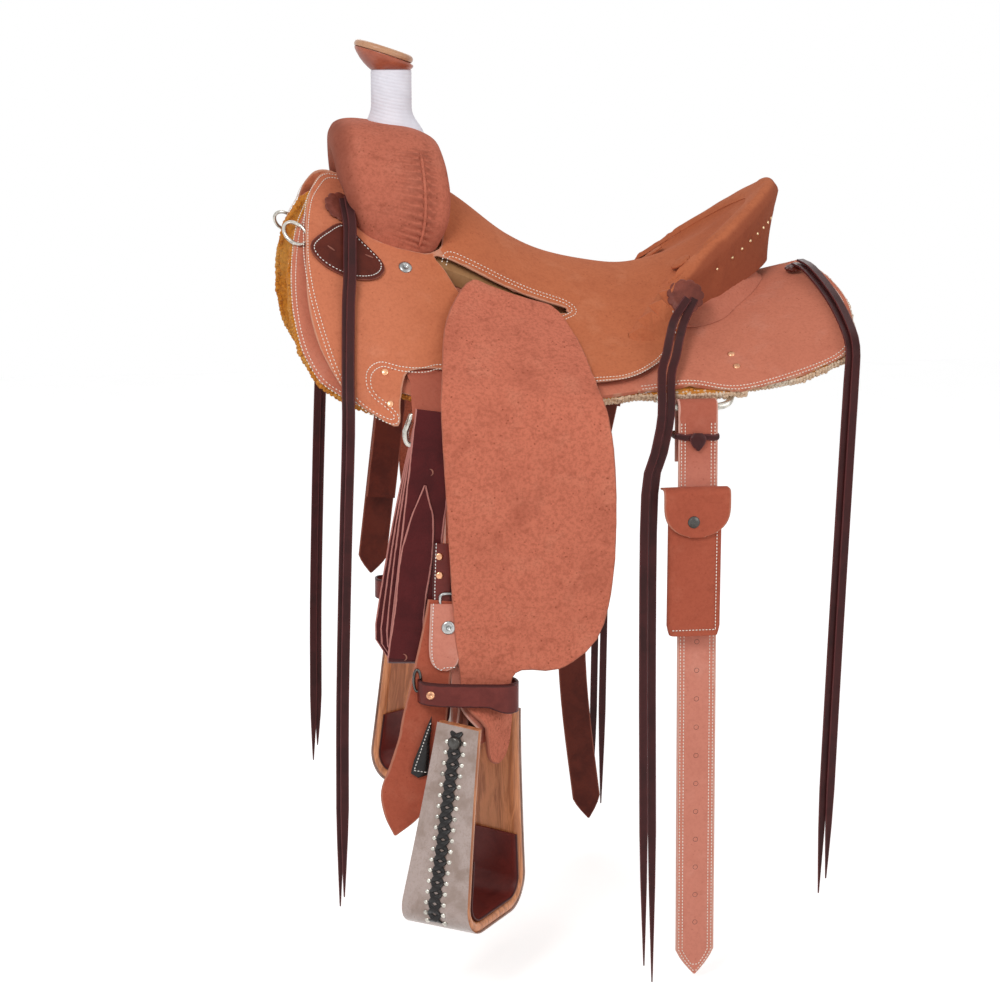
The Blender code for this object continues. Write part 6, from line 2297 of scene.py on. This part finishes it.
def concho_plates():
    """Leather plate under the front strings, stitched round and slit for a tie."""
    outline = rounded(CONCHO_OUTLINE, 5)
    under = seat_layer(SEAT_TOP + FIT_GAP)
    face = seat_layer(SEAT_TOP + FIT_GAP + CONCHO_THICK)
    leathers(
        "concho_leather_", outline, under, face, BROWN_HIDE, "saddle", "concho_plate_", step=6.0
    )
    for side in (1, -1):
        sew(PALE_STITCHES, "saddle", inset(outline, 4.5), face, side, closed=True)
        for x, s, turn in CONCHO_SLITS:
            along = face(x + 1, s + turn) - face(x - 1, s - turn)
            spot, normal = on(face, x, s)
            PALE_SLITS.bead("saddle", spot, along, normal, (13, 2.6, 0.8), side)


def rosette(
    name, x, s, surface, side, nodes=(), radius=ROSETTE_RADIUS, lift=ROSETTE_LIFT,
    look=BROWN_HIDE, facing=None,
):
    """Domed leather disc with a scalloped edge."""
    top, normal = on(surface(lift + 3.0), x, s)
    low = surface(lift)(x, s)
    if facing:
        normal = Vector(facing).normalized()
        top = low + normal * 3.0
    thick = (top - low).length
    rings = [(0.0, 1.0)] + [(k / 14, 1.0 - 0.75 * (k / 14) ** 3) for k in range(1, 14)]
    rings += [(0.97, 0.1), (1.0, -0.3), (0.97, -1.0), (0.0, -1.0)]
    first = Vector((1, 0, 0))
    first = (first - normal * first.dot(normal)).normalized()
    second = normal.cross(first)
    middle = top.lerp(low, 0.5)
    sides = ROSETTE_SCALLOPS * 8

    def place(a, b):
        share, level = rings[round(b * (len(rings) - 1))]
        angle = 2 * math.pi * a
        scallop = abs(math.cos(angle * ROSETTE_SCALLOPS / 2))
        lobes = 1 - 0.10 * share**4 * (1 - scallop**0.7)
        rise = level * thick / 2 + (1.2 if level > 0 else 0.0) * (1 - share)
        flutes = 0.35 * share**3 * scallop
        tooled = 0.9 * share * max(0.0, math.sin(share * 4 * math.pi))
        flutes += tooled * abs(math.cos(angle * ROSETTE_SCALLOPS))
        r = radius * share * lobes
        spread = first * math.cos(angle) + second * math.sin(angle)
        return middle + spread * r + normal * (rise + (flutes if level > -0.5 else 0.0))

    bm = grid(sides, len(rings) - 1, place, wrap=True)
    bmesh.ops.remove_doubles(bm, verts=bm.verts[:], dist=0.02)
    close_ends(bm)
    return finished(bm, name, look, "saddle", nodes, side)


def rosettes():
    def on_seat(n):
        return seat_layer(SEAT_TOP + n)

    for side, label in SIDES:
        rosette(
            "rosette_front_" + label, *ROSETTE_FRONT, lambda n: seat_layer(SEAT_TOP + n - 4), side,
            radius=25.0, look=TOOLED_HIDE,
        )
        rosette(
            "rosette_keeper_" + label, *ROSETTE_KEEPER, on_seat, side, radius=24.5, lift=5.0,
            look=TOOLED_HIDE, facing=(-0.12, -0.86, 0.5),
        )
        rosette(
            "rosette_middle_" + label, *ROSETTE_MID, on_seat, side, ["rosette_mid_" + label],
            look=CANTLE_HIDE,
        )
    rosette("rosette_back_near", *ROSETTE_REAR, layer, 1, ["rosette_rear_near"])


def saddle_strings():
    for name, route, side, shift_x, shift_out, shorten in STRINGS:
        over, hang = STRING_ROUTES[route]
        points = []
        for x, s, n, on_seat in over:
            surface = seat_layer(SEAT_TOP) if on_seat else layer(0.0)
            p = surface(x, s) + normal_of(surface, x, s) * (n + shift_out)
            points.append(p)
        for x, y, z in hang:
            points.append(Vector((x, -y - shift_out, z)))
        points = [p + Vector((shift_x, 0, 0)) for p in points]
        points[-1].z += shorten
        line = smooth_line(points, 3)
        count = len(line)
        widths = [STRING_WIDTH] * (count - 3) + [STRING_WIDTH * 0.8, STRING_WIDTH * 0.5, 1.8]
        bm = ribbon(line, (1, 0, 0), widths, STRING_THICK, columns=4, shave=0.7)
        thong = finished(bm, "thong_" + name, THONG, "saddle", ["string_" + name], side)


# Horn and cantle


# Under the horn's cap: share of the way from the neck to the rim, radius
CAP_FLARE = (
    (0.0, 22.0), (0.0, 26.5), (0.12, 29.2), (0.30, 32.6), (0.52, 35.8), (0.76, 38.2),
    (0.92, 39.2), (1.0, 38.6), (1.02, 30.0),
)
# Its rawhide top: radius, height
CAP_RIM = (
    (0, 6.6), (12, 6.9), (22, 7.8), (28, 9.0), (32, 9.9), (35.6, 9.8), (38.4, 8.6), (40.0, 6.4),
    (40.3, 3.8), (39.4, 1.4), (37.5, 0.4), (30, 0.6), (0, 0.6),
)


def horn_pieces():
    tilt = HORN_CAP_TILT
    top_mid = FORK_TOP_Z + COVER_OUT

    def neck(a, b):
        angle = 2 * math.pi * a
        c, s = math.cos(angle), math.sin(angle)
        base = ease(1 - b / 0.46)
        wide = HORN_FLARE_RADIUS + 2.5 + 9.0 * max(0.0, c) ** 2
        radius = HORN_NECK_RADIUS + (wide - HORN_NECK_RADIUS) * base**1.9
        x, y = HORN_X + radius * c, radius * s
        low = top_mid - 0.16 * (x + 243) - 12.0 * (y / 60) ** 2 - 8.0
        high = HORN_NECK_TOP + 1.5
        z = low + (high - low) * b
        turns = (z - low) / 4.6 + a
        radius += 0.45 * abs(math.sin(math.pi * turns)) ** 0.7
        radius -= 3.0 * ease((b - 0.96) / 0.04)
        return Vector((HORN_X + radius * c, radius * s, z))

    bm = grid(72, 90, neck, wrap=True)
    close_ends(bm)
    finished(bm, "horn_neck_wrap", WRAP, "saddle", ["horn_wrap"])
    axis = Vector((math.sin(tilt), 0, math.cos(tilt)))
    centre = Vector((HORN_X - HORN_CAP_FORWARD, 0, HORN_CAP_Z))
    foot = Vector((HORN_X - 0.5, 0, HORN_NECK_TOP))

    def under(a, b):
        share, radius = CAP_FLARE[round(b * (len(CAP_FLARE) - 1))]
        angle = 2 * math.pi * a
        turn = tilt * max(0.0, min(1.0, share))
        first = Vector((math.cos(turn), 0, -math.sin(turn)))
        spread = first * math.cos(angle) * radius + Vector((0, math.sin(angle) * radius, 0))
        return foot.lerp(centre, share) + spread

    bm = grid(64, len(CAP_FLARE) - 1, under, wrap=True)
    close_ends(bm)
    finished(bm, "horn_cap_underside", COPPER_HIDE, "saddle", ["horn_cap_leather"])
    bm = turned(CAP_RIM, centre, axis, 64)
    finished(bm, "horn_cap_top", RAWHIDE, "saddle", ["horn_cap_rim"])


CANTLE_END = 159.0
CANTLE_ROLL = 13.0
# The seat's rear edge beyond the cantle's rim: distance from the centre line, x
SEAT_CORNER = ((138.0, 133.0), (148.0, 131.0), (155.0, 120.0), (160.0, 111.0))


def seat_rear(y, before=0.0):
    """Point on top of the seat leather at its rear edge, or some way in front of it."""
    far = abs(y)
    x = rim_x(far) if far <= 138.0 else through(SEAT_CORNER, min(far, 160.0), 1)
    top = seat_layer(SEAT_TOP)
    return top(x - before, s_on(top, x - before, y))


def cantle_section(y):
    """Outer and inner line of the cantle's cover at one place across, over the rim and down."""
    full = 1 - 0.62 * ease((abs(y) - 112) / 46)
    edge = seat_rear(y)
    before = seat_rear(y, 17 * full)
    between = seat_rear(y, 8 * full)
    along = Vector((edge.x - before.x, 0, edge.z - before.z)).normalized()
    up = Vector((-along.z, 0, along.x))
    roll = CANTLE_ROLL * full
    middle = edge + along * 6 * full + up * (4 * full + 0.4 - roll)
    outer = [before + up * 0.8, between + up * (0.9 + 1.6 * full)]
    inner = [before + up * 0.05, between + up * 0.3]
    for k in range(7):
        angle = math.radians(24 * k)
        way = up * math.cos(angle) + along * math.sin(angle)
        outer.append(middle + way * roll)
        inner.append(middle + way * max(roll - 3.2, 0.6))
    low_x = edge.x + 7.0 * full
    foot = barrel(low_x, s_at(low_x, y))
    foot.z = height_at(bar_top, low_x, y) if abs(y) < 128 else foot.z + 0.8
    last = outer[-1]
    for share in (0.3, 0.6, 0.85, 1.0):
        spot = last.lerp(Vector((low_x + 3.0, y, foot.z)), share)
        spot.x -= 3.0 * math.sin(math.pi * share) * full
        outer.append(spot)
        inner.append(spot - Vector((3.2, 0, 0)))
    for line in (outer, inner):
        for spot in line:
            spot.y = y
    return smooth_line(outer, 3), smooth_line(inner, 3)


@functools.lru_cache(maxsize=None)
def cantle_lines(row):
    """Section at a row of the cover, kept for the points that share it."""
    return cantle_section(CANTLE_END * (row / 60 - 1))


def cantle():
    """Leather rolled over the cantle's rim and down its back, held by small tacks."""

    def wall(which):
        def place(a, b):
            line = cantle_lines(round(b * 120))[which]
            return line[round(a * (len(line) - 1))]

        return place

    rows = len(cantle_lines(0)[0]) - 1
    tacks = []
    for k in range(-9, 10):
        y = -k * 11.9
        line = cantle_section(y)[0]
        low = 27
        spot = line[low].lerp(line[low + 1], 0.5)
        beside = cantle_section(y + 4)[0][low]
        normal = (line[low + 1] - line[low]).cross(beside - line[low]).normalized()
        normal = normal if normal.x > 0 else -normal
        tacks.append((spot, normal))
    bm = shell(rows, 120, wall(1), wall(0))
    bmesh.ops.recalc_face_normals(bm, faces=bm.faces[:])
    bm.normal_update()
    shade = bm.verts.layers.float.new("shade")
    share = bm.verts.layers.float_vector["share"]
    for v in bm.verts:
        a, b, outside = v[share]
        # painted shade: the back of the cantle is marked darker, and so are the dimples round the tacks
        v[shade] = 0.75 * ease((a - 0.34) / 0.14)
        if not outside:
            continue
        nearest = min((v.co - spot).length for spot, _ in tacks)
        v[shade] = max(v[shade], math.exp(-((nearest / 4.5) ** 2)))
        drawn = 2.6 * math.exp(-((nearest / 5.0) ** 2))
        drawn -= 1.0 * math.exp(-(((nearest - 8.5) / 3.0) ** 2))
        v.co += v.normal * (0.6 * noise.noise(v.co / 26.0) * ease(a / 0.15) - drawn * 0.8)
    finished(bm, "cantle_leather", CANTLE_HIDE, "saddle", ["cantle_back"])
    for spot, normal in tacks:
        TACKS.turned("saddle", TACK, spot - normal * 1.6, normal, sides=14)
    leathers(
        "bar_cover_", rounded(BAR_COVER, 3), layer(0.3), bar_cover_top, BAR_HIDE, "saddle",
        step=6.0, wave=0.4,
    )


# Skirt leather drawn over the rear end of each tree bar, x and s
BAR_COVER = (
    (130, 138), (165, 150), (196, 140), (216, 118), (246, 86), (270, 46), (272, 24), (250, 12),
    (190, 14), (130, 30),
)


def bar_cover_top(x, s):
    """Top of the leather over the bar: full over the wood, down to the skirt at its edge."""
    here = Vector((x, abs(s)))
    ring = [Vector(p) for p in BAR_COVER]
    far = 1e9
    for a, b in zip(ring, ring[1:] + ring[:1]):
        share = max(0.0, min(1.0, (here - a).dot(b - a) / (b - a).length_squared))
        far = min(far, (here - a.lerp(b, share)).length)
    low = layer(0.9)(x, s)
    high = bar_top(x, s) + normal_of(barrel, x, s) * 2.0
    return low.lerp(high, ease(far / 14.0))


# Fittings


# Places of the rivets and of the tree's screw in x, s
JOCKEY_RIVETS = ((-261, 323), (-256, 362))
SKIRT_RIVETS = ((187, 222), (189, 247))
TREE_SCREW = (-227, 154)


def fittings():
    seat_top = seat_layer(SEAT_TOP)
    for side in (1, -1):
        for surface, places in ((seat_top, JOCKEY_RIVETS), (layer(0.0), SKIRT_RIVETS)):
            for place in places:
                point, normal = on(surface, *place)
                RIVETS.turned("saddle", RIVET, point, normal, sides=20, side=side)
        point, normal = on(seat_top, *TREE_SCREW)
        SCREWS.turned("saddle", FERRULE, point, normal, sides=28, side=side)


# CAD pieces that keep their shape


def dress(node, look):
    """Gives a CAD node its finish."""
    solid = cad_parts[node]
    solid.data.materials.clear()
    solid.data.materials.append(look)


def tree():
    for node in ("tree_bar_near", "tree_bar_far", "tree_fork", "tree_cantle"):
        dress(node, TREE_RAWHIDE)
    for node in ("ground_seat", "horn"):
        dress(node, STEEL)


# Studio


CAMERA_LENS = 79.2
CAMERA_PLACE = (-0.5192, -2.9446, 0.32)
CAMERA_PITCH = math.radians(79.2)
CAMERA_TURN = math.radians(-8.44)
# name, place, target, size, power
LAMPS = (
    ("key", (-1.7, -2.6, 2.1), (0.0, -0.1, -0.1), 1.3, 57.0),
    ("fill", (2.4, -2.2, 0.9), (0.0, 0.0, -0.2), 2.0, 23.0),
    ("back", (0.4, 2.6, 1.8), (0.0, 0.0, 0.0), 2.0, 16.0),
)


def studio():
    camera = bpy.data.objects.new("camera", bpy.data.cameras.new("camera"))
    camera.data.lens = CAMERA_LENS
    camera.data.sensor_width = 36.0
    camera.location = CAMERA_PLACE
    camera.rotation_euler = (CAMERA_PITCH, 0.0, CAMERA_TURN)
    bpy.context.scene.collection.objects.link(camera)
    bpy.context.scene.camera = camera

    for name, place, target, size, power in LAMPS:
        light = bpy.data.lights.new(name, "AREA")
        light.size = size
        light.energy = power
        lamp = bpy.data.objects.new(name, light)
        lamp.location = place
        way = Vector(target) - Vector(place)
        lamp.rotation_euler = way.to_track_quat("-Z", "Y").to_euler()
        bpy.context.scene.collection.objects.link(lamp)

    world = bpy.data.worlds.new("studio")
    bpy.context.scene.world = world
    world.use_nodes = True
    tree = world.node_tree
    tree.nodes.clear()
    path, seen = seen_rays(tree)
    seen = sum_of(tree, seen, path.outputs["Is Transmission Ray"], "MAXIMUM")
    air = make(tree, "Background")
    feed(tree, (1.0, 1.0, 1.0), air.inputs["Color"])
    feed(tree, ranged(tree, seen, 0.0, 1.0, 0.48, 1.0), air.inputs["Strength"])
    out = make(tree, "OutputWorld")
    feed(tree, air.outputs[0], out.inputs["Surface"])

    bm = bmesh.new()
    bmesh.ops.create_grid(bm, x_segments=1, y_segments=1, size=6000.0)
    low = CAD_BOX[0][2] / MM - 1.0
    bmesh.ops.translate(bm, verts=bm.verts[:], vec=(0, 0, low))
    bmesh.ops.scale(bm, vec=Vector((MM, MM, MM)), verts=bm.verts[:])
    mesh = bpy.data.meshes.new("floor")
    bm.to_mesh(mesh)
    bm.free()
    floor = bpy.data.objects.new("floor", mesh)
    mesh.materials.append(floor_look())
    bpy.context.scene.collection.objects.link(floor)
    bpy.context.scene.view_settings.view_transform = "Standard"


def seen_rays(tree):
    """Light path node, and 1 for rays that come from the camera or a glossy surface."""
    path = make(tree, "LightPath")
    rays = (path.outputs["Is Camera Ray"], path.outputs["Is Glossy Ray"])
    return path, sum_of(tree, *rays, "MAXIMUM")


def floor_look():
    """Pale paper floor, seen white, that still takes shadows."""
    look = bpy.data.materials.new("paper_floor")
    look.use_nodes = True
    tree = look.node_tree
    shader = tree.nodes["Principled BSDF"].inputs
    place = make(tree, "TexCoord").outputs["Object"]
    shade = ranged(tree, noisy(tree, place, 6.0, 2.0), 0.3, 0.7)
    feed(tree, blended(tree, shade, (0.90, 0.90, 0.90), (0.88, 0.88, 0.88)), shader["Base Color"])
    settle(shader, Roughness=0.95, Emission_Color=(1.0, 1.0, 1.0, 1.0))
    _, seen = seen_rays(tree)
    feed(tree, ranged(tree, seen, 0.0, 1.0, 0.0, 0.52), shader["Emission Strength"])
    return look


def main():
    studio()
    saddle_strings()
    tree()
    fleece()
    locks()
    skirts()
    seat_leather()
    fork_cover()
    fork_welts()
    horn_pieces()
    cantle()
    front_rigging()
    rear_dees()
    breast_dees()
    fenders()
    stirrup_leathers()
    hobbles()
    stirrups()
    stirrup_bolts()
    latigo()
    off_billet()
    flank_billets()
    pouch()
    leather_tail()
    fender_backing()
    concho_plates()
    rosettes()
    edge_stitching()
    fittings()
    gathered = (PALE_SLITS, STITCHES, PALE_STITCHES, RIVETS, TACKS, SCREWS, LACES, NAILS, HOLES)
    for small in gathered:
        small.done()


main()
